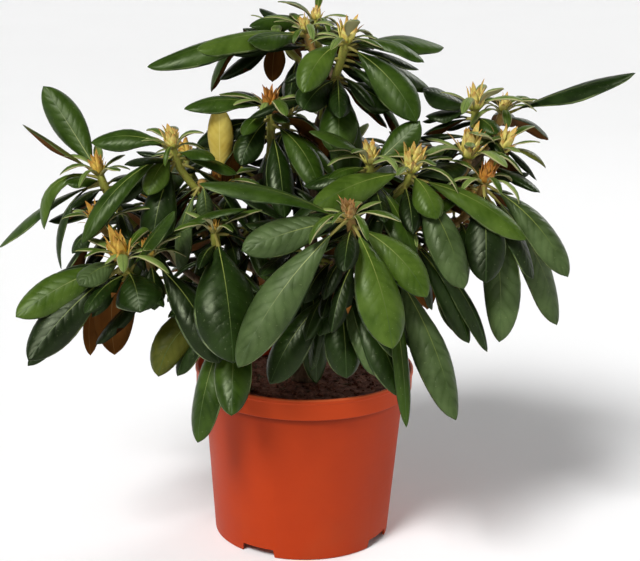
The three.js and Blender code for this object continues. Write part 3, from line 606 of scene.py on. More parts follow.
def slab(base, leaf, thick, skip=0):
    # the room a leaf takes from later ones: its sheet lowered and raised, and walled all round
    rows = np.concatenate([sheetRows(base, leaf, skip, rise) for rise in (-thick, thick)])
    above = 3 * len(rows) // 2
    low = gridFaces(len(rows) // 2, 3)
    faces = low + [tuple(i + above for i in face) for face in low]
    for rim in (range(0, above, 3), range(2, above, 3), range(above - 3, above)):
        for a, b in zip(rim, rim[1:]):
            faces += [(a, b, b + above), (a, b + above, a + above)]
    return Shape(rows, faces)


def tubeShape(path, radius, sides, skip=0):
    rings = tubeRings(path, [radius] * len(path), sides)[skip:]
    return Shape(rings, gridFaces(len(rings), sides, True))


budForm = {
    "length": 27, "seat": 0.5, "foot": 4.2, "waist": 5.4, "waistAt": 0.3, "spikes": 3, "spikeOut": 12,
    "spikeAt": 0.72,
}


def budShape(shoot):
    aim = unit(shoot["path"][-1] - shoot["path"][-2])
    at = shoot["at"]
    size = shoot["bud"]
    long = budForm["length"] * size
    sides = 2 * budForm["spikes"]
    foot = ring(at - aim * budForm["seat"], aim, budForm["foot"] + room, sides)
    waist = ring(at + aim * long * budForm["waistAt"], aim, budForm["waist"] * size + room, sides)
    spikes = ring(at + aim * long * budForm["spikeAt"], aim, budForm["spikeOut"] * size + room, sides)
    waist[::2] = spikes[::2]
    tip = [(sides + k, sides + (k + 1) % sides, 2 * sides) for k in range(sides)]
    return Shape(np.vstack((foot, waist, at + aim * (long + room))), gridFaces(2, sides, True) + tip)


class Crown:
    # what already takes room: each entry is a shape, the family of shoots it belongs to, and its blade alone
    def __init__(self):
        self.entries = []
        self.lows = np.zeros((0, 3))
        self.highs = np.zeros((0, 3))

    def take(self, shape, family=None, blade=None):
        self.entries.append((shape, family, blade or shape))
        self.lows = np.vstack((self.lows, shape.low))
        self.highs = np.vstack((self.highs, shape.high))

    def meets(self, whole, blade, family):
        # leaves of one family may meet at their stalks
        near = ((self.lows < whole.high) & (whole.low < self.highs)).all(1)
        for i in np.flatnonzero(near):
            shape, owner, ownBlade = self.entries[i]
            first, second = (blade, ownBlade) if owner == family else (whole, shape)
            if first.tree.overlap(second.tree):
                return True
        return False


pot = {
    "height": 183, "rimRadius": 115, "rimBand": 23, "rimEdge": 1, "rimRoll": 3, "bandInset": 1.2,
    "bandLip": 2, "bandFoot": 1.5, "bodyRadius": 105.5, "footRadius": 92.6, "wall": 2.2,
    "floorHeight": 12, "floorThick": 2.5,
}
potRoom = {"inside": 6, "soil": 4, "wall": 3, "steps": 9}


def meetsPot(shape):
    # a leaf keeps off the pot's wall and rim, and off the soil
    top = pot["height"] + potRoom["wall"]
    if shape.low[2] > top:
        return False
    rows = shape.places
    pairs = ((rows[:-1], rows[1:]), (rows[:, :-1], rows[:, 1:]), (rows[:-1, :-1], rows[1:, 1:]))
    steps = np.linspace(0, 1, potRoom["steps"])[:, None, None, None]
    places = np.concatenate([(a + (b - a) * steps).reshape(-1, 3) for a, b in pairs])
    out = np.hypot(places[:, 0], places[:, 1])
    overSoil = out < pot["bodyRadius"] - potRoom["inside"]
    sunk = overSoil & (places[:, 2] < soilTop + potRoom["soil"])
    wall = ~overSoil & (out < pot["rimRadius"] + potRoom["wall"]) & (places[:, 2] < top)
    return bool((sunk | wall).any())


def backFrom(path, way):
    # the place that lies so far back from a path's end
    left = way
    for i in range(len(path) - 1, 0, -1):
        step = path[i - 1] - path[i]
        span = np.linalg.norm(step)
        if left <= span:
            return path[i] + step * left / span
        left -= span
    return path[0]


rises = (0, 5, -5, 10, -10, 15, -15, 20, -20, 30, -30)
sways = (0, 7, -7, 14, -14, 21, -21)
turns = sorted(((rise, sway) for rise in rises for sway in sways), key=lambda turn: sum(map(abs, turn)))
finer = {"seed": 503, "seedStep": 29, "thick": 0.7, "tries": 21, "margin": 3}
crown = Crown()


def settle(shoot, leaf, way, bounds=None):
    # a leaf whose place is taken gives way by a few degrees or is left out; the finer ones keep within bounds
    skip = leafForm["stalkRows"]
    thick, tries = (finer["thick"], finer["tries"]) if bounds else (room, len(turns))
    for rise, sway in turns[:tries]:
        tried = (leaf[0] + sway, leaf[1] + rise, *leaf[2:])
        base = backFrom(shoot["path"], way) + heading(tried[0], 0) * leafForm["root"]
        whole = sheet(base, tried)
        if bounds and not whole.within(bounds) or meetsPot(whole):
            continue
        if crown.meets(whole, sheet(base, tried, skip), shoot["family"]):
            continue
        crown.take(slab(base, tried, thick), shoot["family"], slab(base, tried, thick, skip))
        shoot["leaves"].append((way, tried))
        return


# a rise is (at the top, its fall towards the foot, what chance adds); the others are (least, what chance adds)
growth = {
    "turn": 137.5, "seed": 11, "seedStep": 17, "below": 0.6, "rise": (22, 45, 12), "droop": (40, 35),
    # the kind deep among these is painted shade
    "length": (85, 40), "slim": (0.3, 0.08), "kinds": ("dark", "green", "dark", "green", "deep"),
}
whorl = {"top": 3, "step": 2.1, "most": 26}


def drawLeaf(random, form, bearing, share, kind=None, long=None):
    top, fall, vary = form["rise"]
    rise = drawn(random, top - fall * share, vary)
    droop = drawn(random, *form["droop"])
    long = long or drawn(random, *form["length"])
    width = long * drawn(random, *form["slim"])
    kind = kind or form["kinds"][next(random) >= form["odds"]]
    return (bearing, rise, droop, long, width, kind)


def whorlWay(index):
    return min(whorl["top"] + whorl["step"] * index, whorl["most"])


def growLimbs():
    # stem, boughs, shoots and buds take their room before any leaf
    path = np.array([trunkPoint(trunk["height"] * t) for t in (0, 0.5, 1)])
    crown.take(tubeShape(path, trunk["foot"] + room, trunk["sides"]))
    for mass in masses.values():
        layBough(mass)
        layShoots(mass)
        path = mass["bough"](np.linspace(0, 1, bough["steps"] + 1))
        crown.take(tubeShape(path, bough["foot"] + room, bough["sides"]))
        for shoot in mass["shoots"]:
            crown.take(tubeShape(shoot["path"], twig["foot"] + room, twig["sides"]), shoot["family"])
            if shoot["bud"]:
                crown.take(budShape(shoot), shoot["family"])


def growByRule():
    shoots = [shoot for mass in masses.values() for shoot in mass["shoots"]]
    for shoot in shoots:
        for i, leaf in enumerate(shoot["placed"]):
            settle(shoot, leaf, whorlWay(i))
    seed = growth["seed"]
    for shoot in shoots:
        random = seeded(seed)
        seed += growth["seedStep"]
        turn = next(random) * 360
        first = growth["below"] if shoot["placed"] else 0
        for i in range(shoot["more"]):
            share = first + (1 - first) * i / max(1, shoot["more"] - 1)
            kind = growth["kinds"][(seed + i) % len(growth["kinds"])]
            leaf = drawLeaf(random, growth, turn + growth["turn"] * i, share, kind)
            settle(shoot, leaf, whorlWay(len(shoot["leaves"])))
        shoot["ruled"] = len(shoot["leaves"])
    return sum(shoot["ruled"] for shoot in shoots)


lowLeaves = {  # small leaves further down the shoots; odds is the share that gets the first kind
    "count": 9, "from": 12, "to": 70, "reach": 0.85, "rise": (5, 42, 24), "droop": (30, 35),
    # the first kind, deep, is painted shade on these inner leaves
    "length": (50, 38), "slim": (0.32, 0.1), "kinds": ("deep", "dark"), "odds": 0.7,
}
sideTwig = {  # lead and tail bend it: degrees off its rise, and a share of its span
    "count": 2, "from": 34, "to": 78, "stray": 0.5, "reach": 0.8, "turn": 70, "rise": (15, 30),
    "span": (26, 20), "radius": 2.6, "sides": 6, "rings": 7, "free": 3, "lead": (15, 0.4), "tail": (25, 0.3),
}
sideLeaves = {
    "count": 5, "first": 1.5, "step": 2, "rise": (30, 45, 15), "droop": (30, 40), "length": (48, 34),
    # deep here is painted shade on leaves inside the crown
    "slim": (0.34, 0.08), "kinds": ("dark", "deep"), "odds": 0.55,
}


def growSideTwig(shoot, random, way, bearing, bounds):
    rise = drawn(random, *sideTwig["rise"])
    span = drawn(random, *sideTwig["span"])
    foot = backFrom(shoot["path"], way)
    tip = foot + heading(bearing, rise) * span
    dip, lead = sideTwig["lead"]
    lift, tail = sideTwig["tail"]
    near = foot + heading(bearing, rise - dip) * span * lead
    far = tip - heading(bearing, rise + lift) * span * tail
    path = bezier(foot, near, far, tip, np.linspace(0, 1, sideTwig["rings"]))
    size = (path, sideTwig["radius"], sideTwig["sides"])
    whole = tubeShape(*size)
    if not whole.within(bounds) or crown.meets(whole, tubeShape(*size, sideTwig["free"]), shoot["family"]):
        return []
    crown.take(whole, shoot["family"])
    side = {"path": path, "line": path, "family": shoot["family"], "bud": 0, "leaves": [], "ruled": 0}
    for i in range(sideLeaves["count"]):
        long = drawn(random, *sideLeaves["length"])
        share = i / (sideLeaves["count"] - 1)
        leaf = drawLeaf(random, sideLeaves, bearing + growth["turn"] * i, share, long=long)
        settle(side, leaf, sideLeaves["first"] + sideLeaves["step"] * i, bounds)
    return [side]


def growFiner():
    # leaves lower down the twigs, then side twigs with small leaves of their own
    seed = finer["seed"]
    for name, mass in masses.items():
        low, high = (np.array(corner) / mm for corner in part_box(name))
        bounds = (low - finer["margin"], high + finer["margin"])
        for shoot in mass["shoots"]:
            random = seeded(seed)
            seed += finer["seedStep"]
            turn = next(random) * 360
            reach = float(np.linalg.norm(np.diff(shoot["path"], axis=0), axis=1).sum())
            for i in range(lowLeaves["count"]):
                share = i / (lowLeaves["count"] - 1)
                way = between(lowLeaves["from"], lowLeaves["to"], share)
                leaf = drawLeaf(random, lowLeaves, turn + growth["turn"] * i, share)
                settle(shoot, leaf, min(way, lowLeaves["reach"] * reach), bounds)
            for k in range(sideTwig["count"]):
                way = between(sideTwig["from"], sideTwig["to"], k + next(random) * sideTwig["stray"])
                bearing = turn + sideTwig["turn"] + growth["turn"] * k
                way = min(way, sideTwig["reach"] * reach)
                mass["sideTwigs"] += growSideTwig(shoot, random, way, bearing, bounds)


growLimbs()
ruled = growByRule()
growFiner()
bearers = [shoot for mass in masses.values() for shoot in mass["shoots"] + mass["sideTwigs"]]
print("grown:", ruled, "leaves by the part's rule,", sum(len(shoot["leaves"]) for shoot in bearers), "in all")


def placed(name, data):
    made = bpy.data.objects.new(name, data)
    bpy.context.scene.collection.objects.link(made)
    return made


def settlePiece(piece, slot, *nodes):
    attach(piece, "root")
    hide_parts(*nodes)


class Batch:
    # gathers small closed shapes into one mesh; each shape is rings of points between a foot and a tip
    def __init__(self):
        self.places = []
        self.quads = []
        self.quadSlots = []
        self.fans = []
        self.fanSlots = []
        self.maps = []
        self.count = 0

    def add(self, rings, foot, tip, slots, maps=None):
        # slots: a finish's name for all faces, or one for each row and column
        # maps: where each point of the rings lies on the piece's map
        rows, sides = rings.shape[:2]
        slots = np.broadcast_to(slots, (rows - 1, sides))
        places = np.vstack((rings.reshape(-1, 3), foot, tip))
        k = np.arange(sides)
        n = (k + 1) % sides
        r = np.arange(rows - 1)[:, None] * sides
        quads = np.stack((r + k, r + n, r + sides + n, r + sides + k), -1).reshape(-1, 4)
        last = (rows - 1) * sides
        fans = np.vstack((np.stack((n, k, np.full(sides, rows * sides)), -1),
                          np.stack((last + k, last + n, np.full(sides, rows * sides + 1)), -1)))
        a, b, c, d = np.moveaxis(places[quads] - places[0], 1, 0)
        if (a * (np.cross(b, c) + np.cross(c, d))).sum() < 0:  # the rings run the other way round
            quads = quads[:, ::-1]
            fans = fans[:, ::-1]
        if maps is None:
            maps = np.zeros((rows, sides, 2))
        self.places.append(places)
        self.quads.append(quads + self.count)
        self.fans.append(fans + self.count)
        self.quadSlots.append(slots.reshape(-1))
        self.fanSlots.append(np.concatenate((slots[0], slots[-1])))
        self.maps.append(np.vstack((maps.reshape(-1, 2), maps[0].mean(0), maps[-1].mean(0))))
        self.count += len(places)

    def triangles(self):
        return sum(2 * len(q) for q in self.quads) + sum(len(f) for f in self.fans)

    def build(self, name, finishes):
        quads = np.concatenate(self.quads)
        fans = np.concatenate(self.fans)
        corners = np.concatenate((quads.ravel(), fans.ravel()))
        used, slots = np.unique(np.concatenate(self.quadSlots + self.fanSlots), return_inverse=True)
        mesh = bpy.data.meshes.new(name)
        faces = quads.tolist() + fans.tolist()
        mesh.from_pydata(np.concatenate(self.places) * mm, [], faces, shade_flat=False)
        mesh.polygons.foreach_set("material_index", slots.astype(np.int32))
        mapped = mesh.uv_layers.new(name="leaf")
        mapped.data.foreach_set("uv", np.concatenate(self.maps)[corners].astype(np.float32).ravel())
        for finish in used:
            mesh.materials.append(finishes[finish])
        return placed(name, mesh)


leafLook = {
    "rows": 20, "rowsSmall": 13,  # rings along a leaf, fewer on the small ones inside the crown
    "across": (0, 0.3, 0.65, 0.94, 1), "acrossSmall": (0, 0.5, 1), "acrossYoung": (0, 0.45, 0.84, 1),
    "under": (0, 0.5), "crowd": 0.12, "end": 0.99,
    "rib": 0.45, "ribTaper": (1.15, 0.7), "ribMost": 0.35, "ribDepth": 0.6, "groove": 9,
    "ribBelow": 0.9, "belowTaper": (1.1, 0.8), "belowEdge": 0.9, "thick": 1.1, "thin": 0.75,
    "arch": (0.7, 1.2), "curl": 0.12, "curlFrom": 0.78, "wave": 0.085, "waves": 1.6, "waveShift": 2.1,
    "stalk": 1.7, "stalkEnd": 0.05, "stalkTone": 0.9, "flatten": 0.13, "mucro": 1.2,
    "widest": 0.57, "heel": 1.75, "blunt": (2.2, 0.48, 0.14), "slim": 0.94,
}
goldenTurn = 0.381966  # of a full turn


def chance(turn, stride):
    # a share from 0 to 1 that differs from leaf to leaf
    return turn * stride % 1


def bladeHalf(t, width, turn):
    # half the width along a blade: narrow at its heel, widest past the middle, more or less blunt at its tip
    look = leafLook
    s = np.clip((t - leafForm["petiole"]) / (1 - leafForm["petiole"]), 0, 1)
    heel = 1 - np.clip(1 - s / look["widest"], 0, 1) ** look["heel"]
    power, root, vary = look["blunt"]
    root += vary * chance(turn, 7.7)
    toe = (1 - np.clip((s - look["widest"]) / (1 - look["widest"]), 0, 1) ** power) ** root
    return np.maximum(look["slim"] * width / 2 * heel * toe, leafForm["petioleWidth"] / 2 * (1 - s))


def leafRings(base, leaf, turn, small):
    look = leafLook
    x = np.linspace(0, 1, look["rowsSmall"] if small else look["rows"])
    t = look["end"] * (x - look["crowd"] * np.sin(2 * math.pi * x))
    place, side, up = spine(base, leaf, t)
    half = bladeHalf(t, leaf[4], turn)[:, None]
    widest, taper = look["ribTaper"]
    rib = np.minimum(look["rib"] * (widest - taper * t)[:, None], look["ribMost"] * half)
    young = leaf[5] in ("young", "fresh") and small
    share = np.array(look["acrossYoung" if young else "acrossSmall" if small else "across"])
    above = rib / half + (1 - rib / half) * share
    under = rib / half + (1 - rib / half) * np.array(look["under"])
    s = np.hstack((-above[:, ::-1], above, under[:, ::-1], -under))
    tops = 2 * len(share)
    a = np.abs(s)
    # the blade's halves bend down like a shallow roof, its edge rolls under and waves a little
    arch = between(*look["arch"], chance(turn, 5.3))
    curl = np.clip((a - look["curlFrom"]) / (1 - look["curlFrom"]), 0, 1) ** 2
    phase = 2 * math.pi * (look["waves"] * t[:, None] + turn) + np.where(s > 0, look["waveShift"], 0)
    bent = (np.cos(arch * a) - 1) / arch
    high = half * (bent - look["curl"] * curl + look["wave"] * np.sin(phase) * a ** 2)
    high += look["thick"] / 2
    # a groove over the midrib, and the rib standing out below
    high[:, :tops] -= look["ribDepth"] * np.clip(1 - (a[:, :tops] - a.min(1)[:, None]) * look["groove"], 0, 1)
    body = between(look["thin"], look["thick"], 1 - a[:, tops:])
    deepest, taper = look["belowTaper"]
    onRib = a[:, tops:] < under[:, 1:] * look["belowEdge"]
    high[:, tops:] -= body + look["ribBelow"] * (deepest - taper * t)[:, None] * onRib
    # the stalk is round and flattens into the blade
    angles = np.concatenate((math.pi * (1 - np.arange(tops) / (tops - 1)), -math.pi * np.arange(1, 5) / 5))
    flat = np.clip((t - look["stalkEnd"]) / look["flatten"], 0, 1)[:, None]
    flat = flat * flat * (3 - 2 * flat)
    out = (1 - flat) * look["stalk"] * np.cos(angles) + flat * half * np.sin(arch * s) / arch
    high = (1 - flat) * look["stalk"] * np.sin(angles) + flat * high
    rings = place[:, None] + side[:, None] * out[..., None] + up[:, None] * high[..., None]
    maps = np.stack((np.broadcast_to(t[:, None], s.shape), (s + 1) / 2), -1)
    tip = spine(base, leaf, np.array((1 + look["mucro"] / leaf[3],)))[0][0]
    return rings, tip, maps, tops, t


def leafSlots(rows, sides, tops, t, kind):
    young = kind == "young" or kind == "fresh" and tops == 2 * len(leafLook["acrossYoung"])
    felt = "feltYoung" if young or kind == "yellow" else "felt"
    slots = np.full((rows - 1, sides), kind, dtype="<U10")
    slots[:, tops - 1:] = felt
    slots[:, tops // 2 - 1] = "ribYellow" if kind == "yellow" else "rib"
    slots[:, tops + 1] = "feltRib" if felt == "felt" else felt
    # the outer columns on top of the big leaves take the margin's painted highlight
    if tops > 2 * len(leafLook["acrossSmall"]) and kind != "yellow":
        slots[:, 0] = slots[:, tops - 2] = "feltYoung" if young else "edge"
    slots[t[:-1] < leafForm["petiole"] * leafLook["stalkTone"]] = "petiole"
    return slots


def addLeaf(batch, base, leaf, turn, small):
    rings, tip, maps, tops, t = leafRings(base, leaf, turn, small)
    slots = leafSlots(len(rings), rings.shape[1], tops, t, leaf[5])
    batch.add(rings, rings[0].mean(0), tip, slots, maps)


youngForm = {
    "count": 7, "countVary": 2, "length": (32, 32), "bySize": (0.55, 0.5), "slim": 0.23,
    "slimVary": (0.8, 0.5), "sway": 30, "rise": (70, -34), "droop": 96, "droopVary": (0.6, 0.8),
    "out": 2.8, "sunk": 1.5, "downy": 0.4, "seed": 71, "seedStep": 13,
}


def addYoung(batch, shoot, seed):
    # small downy leaves that stand round a bud and curl outwards
    form = youngForm
    random = seeded(seed)
    turn = next(random) * 360
    count = round(form["count"] + form["countVary"] * next(random) - 0.5)
    least, bySize = form["bySize"]
    for i in range(count):
        long = drawn(random, *form["length"]) * (least + bySize * shoot["bud"])
        bearing = turn + 360 * i / count + form["sway"] * next(random)
        rise = drawn(random, *form["rise"])
        droop = form["droop"] * drawn(random, *form["droopVary"])
        kind = "young" if next(random) < form["downy"] else "fresh"
        leaf = (bearing, rise, droop, long, long * form["slim"] * drawn(random, *form["slimVary"]), kind)
        base = shoot["at"] + heading(bearing, 0) * form["out"] - np.array((0, 0, form["sunk"]))
        addLeaf(batch, base, leaf, next(random), True)


def buildLeaves():
    seed = youngForm["seed"]
    total = 0
    for name, mass in masses.items():
        batch = Batch()
        turn = 0.0
        for shoot in mass["shoots"] + mass["sideTwigs"]:
            for i, (way, leaf) in enumerate(shoot["leaves"]):
                base = backFrom(shoot["line"], way) + heading(leaf[0], 0) * leafForm["root"]
                turn += goldenTurn
                addLeaf(batch, base, leaf, turn, i >= shoot["ruled"])
            if shoot["bud"]:
                addYoung(batch, shoot, seed)
            seed += youngForm["seedStep"]
        settlePiece(batch.build("leaves_" + name, leafFinishes), "foliage", name)
        total += batch.triangles()
    print("leaves meshed:", total, "triangles")


buildLeaves()


twigLook = {
    "sides": 9, "steps": 16, "greenFrom": 0.45, "greenShare": 0.6, "knobs": 0.28, "knobRun": 31,
    "knobTurn": 7, "swell": 1.2, "swellFrom": 0.55, "swellOver": 0.4, "stout": 2, "end": 0.8, "cap": 0.6,
    "sideFoot": 1.9, "sideTip": 1.5,
}


def addTwig(batch, path, foot, tip, turn, green):
    look = twigLook
    last = len(path) - 1
    share = np.arange(last + 1) / last
    knobs = look["knobs"] * np.sin(share * look["knobRun"] + turn * look["knobTurn"])
    swell = look["swell"] * np.clip((share - look["swellFrom"]) / look["swellOver"], 0, 1)
    radii = between(foot, tip, share) + knobs + swell * (tip > look["stout"])
    radii[-1] *= look["end"]
    soft = "green" if turn % 1 < look["greenShare"] else "tawny"
    slots = np.where(share[:-1] >= green, soft, "wood")[:, None]
    cap = path[-1] + unit(path[-1] - path[-2]) * look["cap"]
    batch.add(tubeRings(path, radii, look["sides"]), path[0], cap, slots)


def buildTwigs():
    batch = Batch()
    turn = 0.0
    for mass in masses.values():
        for i, shoot in enumerate(mass["shoots"]):
            turn += goldenTurn
            path = shoot["curve"](np.linspace(0, 1, twigLook["steps"] + 1))
            foot = twig["branchFoot"] if i else twig["foot"]
            addTwig(batch, path, foot, twig["tip"], turn, twigLook["greenFrom"])
        for side in mass["sideTwigs"]:
            turn += goldenTurn
            addTwig(batch, side["path"], twigLook["sideFoot"], twigLook["sideTip"], turn, 0)
    settlePiece(batch.build("twigs", stemFinishes), "bark", *masses)
    print("twigs meshed:", batch.triangles(), "triangles")


buildTwigs()


budColours = {  # from the foot of a bract to its tip
    "cream": ((140, 150, 50), (210, 202, 98), (226, 212, 122), (196, 146, 70)),
    "amber": ((146, 118, 34), (206, 172, 66), (218, 184, 86), (176, 120, 46)),
    "rust": ((124, 86, 26), (184, 128, 44), (188, 130, 54), (128, 74, 28)),
    "tawny": ((134, 120, 56), (190, 164, 98), (196, 160, 104), (140, 98, 56)),
}
budLook = {
    "thick": 0.8, "sway": 14, "reach": (0.78, 0.36), "spread": (0.7, 0.6), "seat": (0.17, 0.3),
    "tiers": (  # count, length, width, lean outwards, curl, height of the foot
        (5, 0.64, 0.3, 34, -30, 0.0), (5, 0.82, 0.29, 20, -24, 0.03), (4, 0.94, 0.25, 8, -10, 0.08)),
    "heart": {
        "height": 0.5, "radius": 0.19, "rings": 9, "sides": 10, "end": 0.96, "arc": (0.16, 0.8), "full": 0.8,
        "cap": 0.03},
    "needles": {
        "count": 3, "length": 0.9, "width": 0.07, "lean": 28, "curl": 8, "thick": 0.5, "sway": 20,
        "reach": (0.7, 0.4), "spread": (0.6, 1), "seat": (0.05, 0.2)},
    "bract": {  # its outline along it, then its section, across and through
        "rows": 11, "end": 0.97, "flare": 22, "belly": (0.62, 0.75), "taper": 0.8, "thin": 0.6, "point": 0.05,
        "across": (-1, -0.45, 0.45, 1, 0.5, 0.15, -0.15, -0.5),
        "through": (0, 1, 1, 0, -0.2, -0.25, -0.25, -0.2), "hollow": 0.3},
    "seed": 907, "seedStep": 19,
}


def budFinish(tone):
    # each bract runs through its tones from foot to tip, finely streaked
    finish = Finish("bud_" + tone, 0.3)
    streaks = finish.grain(420, 3, 0.6)
    stops = zip((0.02, 0.3, 0.66, 0.97), (tint(*colour) for colour in budColours[tone]))
    colour = finish.ramp(finish.mapped("X") + streaks * 0.3 - 0.15, *stops)
    colour = finish.blend(finish.flecks(0.52, 0.64, 190) * 0.4, colour, tint(190, 108, 36))
    return finish.coat(colour, 0.46 + 0.2 * streaks, finish.bump(streaks, 0.25, 0.0004))


def addBract(batch, foot, aim, out, long, width, lean, curl, tone, thick):
    # a pointed scale: wide and hollow below, drawn to a fine tip, bending by its curl
    bract = budLook["bract"]
    t = np.linspace(0, bract["end"], bract["rows"])
    side = unit(np.cross(out, aim))
    angle = np.radians(lean + curl * t + bract["flare"] * t ** 4)
    ahead = aim * np.cos(angle)[:, None] + out * np.sin(angle)[:, None]
    away = out * np.cos(angle)[:, None] - aim * np.sin(angle)[:, None]
    steps = np.diff(t, prepend=0)[:, None] * long
    place = foot + np.cumsum(ahead * steps, 0)
    narrow, belly = bract["belly"]
    half = (width * (narrow + belly * t) * (1 - t) ** bract["taper"])[:, None]
    across = np.array(bract["across"])
    body = thick * np.array(bract["through"]) * (1 - bract["thin"] * t[:, None])
    body -= bract["hollow"] * half * across ** 2
    rings = place[:, None] + side * (half * across)[..., None] + away[:, None] * body[..., None]
    maps = np.stack(np.broadcast_arrays(t[:, None], across / 2 + 0.5), -1)
    batch.add(rings, rings[0].mean(0), place[-1] + ahead[-1] * long * bract["point"], tone, maps)


def addBud(batch, shoot, tone, seed):
    # a rounded heart, then tiers of bracts from the outside in, and stiff dark needles between them
    look = budLook
    heart = look["heart"]
    needles = look["needles"]
    random = seeded(seed)
    size = shoot["bud"]
    long = budForm["length"] * size
    before, at = shoot["curve"](np.array((0.9, 1.0)))
    aim = unit(at - before)
    side = unit(np.cross(aim, (0.2, 1, 0.1)))
    over = np.cross(side, aim)

    def outward(degrees):
        a = math.radians(degrees)
        return side * math.cos(a) + over * math.sin(a)

    t = np.linspace(0, heart["end"], heart["rings"])
    start, arc = heart["arc"]
    radii = long * heart["radius"] * np.sin(math.pi * (start + arc * t)) ** heart["full"]
    rings = [ring(at + aim * long * heart["height"] * v, aim, r, heart["sides"]) for v, r in zip(t, radii)]
    batch.add(np.array(rings), at - aim, at + aim * long * (heart["height"] + heart["cap"]), tone)
    seat, inward = look["seat"]
    for count, share, wide, lean, curl, height in look["tiers"]:
        turn = next(random) * 360
        for i in range(count):
            out = outward(turn + 360 * i / count + look["sway"] * (next(random) - 0.5))
            foot = at + aim * long * height + out * long * (seat - inward * height)
            reach = long * share * drawn(random, *look["reach"])
            spread = lean * drawn(random, *look["spread"])
            addBract(batch, foot, aim, out, reach, long * wide, spread, curl, tone, look["thick"] * size)
    turn = next(random) * 360
    above, aside = needles["seat"]
    for i in range(needles["count"]):
        out = outward(turn + 360 * i / needles["count"] + needles["sway"] * next(random))
        reach = long * needles["length"] * drawn(random, *needles["reach"])
        spread = needles["lean"] * drawn(random, *needles["spread"])
        foot = at + aim * long * above + out * long * aside
        addBract(batch, foot, aim, out, reach, long * needles["width"], spread, needles["curl"], "tawny",
                 needles["thick"] * size)


def buildBuds():
    batch = Batch()
    seed = budLook["seed"]
    for mass in masses.values():
        for shoot in mass["shoots"]:
            if shoot["bud"]:
                addBud(batch, shoot, mass["tone"], seed)
            seed += budLook["seedStep"]
    piece = batch.build("buds", {tone: budFinish(tone) for tone in budColours})
    settlePiece(piece, "foliage", *(name for name, mass in masses.items() if mass["tone"]))
    print("buds meshed:", batch.triangles(), "triangles")


buildBuds()


def meshPiece(name, bm, *finishes):
    mesh = bpy.data.meshes.new(name)
    for face in bm.faces:
        face.smooth = True
    bm.to_mesh(mesh)
    bm.free()
    for finish in finishes:
        mesh.materials.append(finish)
    return placed(name, mesh)


barkLook = {
    "sides": 18, "step": 5.0, "rings": 34, "lumps": 0.9, "lumpScale": 55, "cracks": 0.5, "crackScale": 210,
    "crackLong": 0.35, "collar": 0.45, "collarFade": 14, "samples": 60,
}


def addLimb(bm, path, radii):
    # a disc is pulled along the path, ring by ring, turned and sized to each place
    ways = [Vector(way) for way in chords(path)]
    facing = Vector((0, 0, 1)).rotation_difference(ways[0]).to_matrix().to_4x4()
    disc = bmesh.ops.create_circle(bm, cap_ends=True, segments=barkLook["sides"], radius=float(radii[0]) * mm)
    rings = [disc["verts"]]
    bmesh.ops.transform(bm, matrix=Matrix.Translation(Vector(path[0] * mm)) @ facing, verts=rings[0])
    face = rings[0][0].link_faces[0]
    for i in range(1, len(path)):
        pulled = bmesh.ops.extrude_face_region(bm, geom=[face])
        face = next(g for g in pulled["geom"] if isinstance(g, bmesh.types.BMFace))
        turn = ways[i - 1].rotation_difference(ways[i]).to_matrix().to_4x4()
        size = Matrix.Scale(float(radii[i] / radii[i - 1]), 4)
        home = Matrix.Translation(Vector(-path[i - 1] * mm))
        move = Matrix.Translation(Vector(path[i] * mm)) @ turn @ size @ home
        bmesh.ops.transform(bm, matrix=move, verts=face.verts[:])
        rings.append(face.verts[:])
    for place, verts in zip(path, rings):
        for vert in verts:
            lumps = noise.noise(vert.co * barkLook["lumpScale"]) * barkLook["lumps"]
            stretched = Vector((vert.co.x, vert.co.y, vert.co.z * barkLook["crackLong"]))
            cracks = abs(noise.noise(stretched * barkLook["crackScale"])) * barkLook["cracks"]
            vert.co += (vert.co - Vector(place * mm)).normalized() * (lumps - cracks) * mm


def evenPath(curve, step):
    # places along a curve, a step apart
    share = np.linspace(0, 1, barkLook["samples"])
    long = np.concatenate(((0,), np.cumsum(np.linalg.norm(np.diff(curve(share), axis=0), axis=1))))
    return curve(np.interp(np.linspace(0, long[-1], round(long[-1] / step) + 1), long, share))


def buildBark():
    bm = bmesh.new()
    heights = np.linspace(0, trunk["height"], barkLook["rings"])
    addLimb(bm, np.array([trunkPoint(h) for h in heights]), [trunkRadius(h) for h in heights])
    for mass in masses.values():
        path = evenPath(mass["bough"], barkLook["step"])
        share = np.linspace(0, 1, len(path))
        radii = between(bough["foot"], bough["tip"], share)
        run = share * len(path) * barkLook["step"]
        radii *= 1 + barkLook["collar"] * np.exp(-run / barkLook["collarFade"])
        addLimb(bm, path, radii)
    bmesh.ops.recalc_face_normals(bm, faces=bm.faces[:])
    piece = meshPiece("bark", bm, stemFinishes["wood"])
    settlePiece(piece, "bark", "trunk", *("bough_" + name for name in masses))
    print("bark made")


buildBark()


potLook = {
    "steps": 144, "edge": 0.9, "edgeSteps": (0, 0.33, 0.67, 1), "edgeMost": 0.45, "bead": 4.4, "sharp": 40,
    "notches": 4, "notchFrom": -29, "notchWidth": 26, "notchHeight": 8.5, "notchSlant": 3, "notchDepth": 40,
}


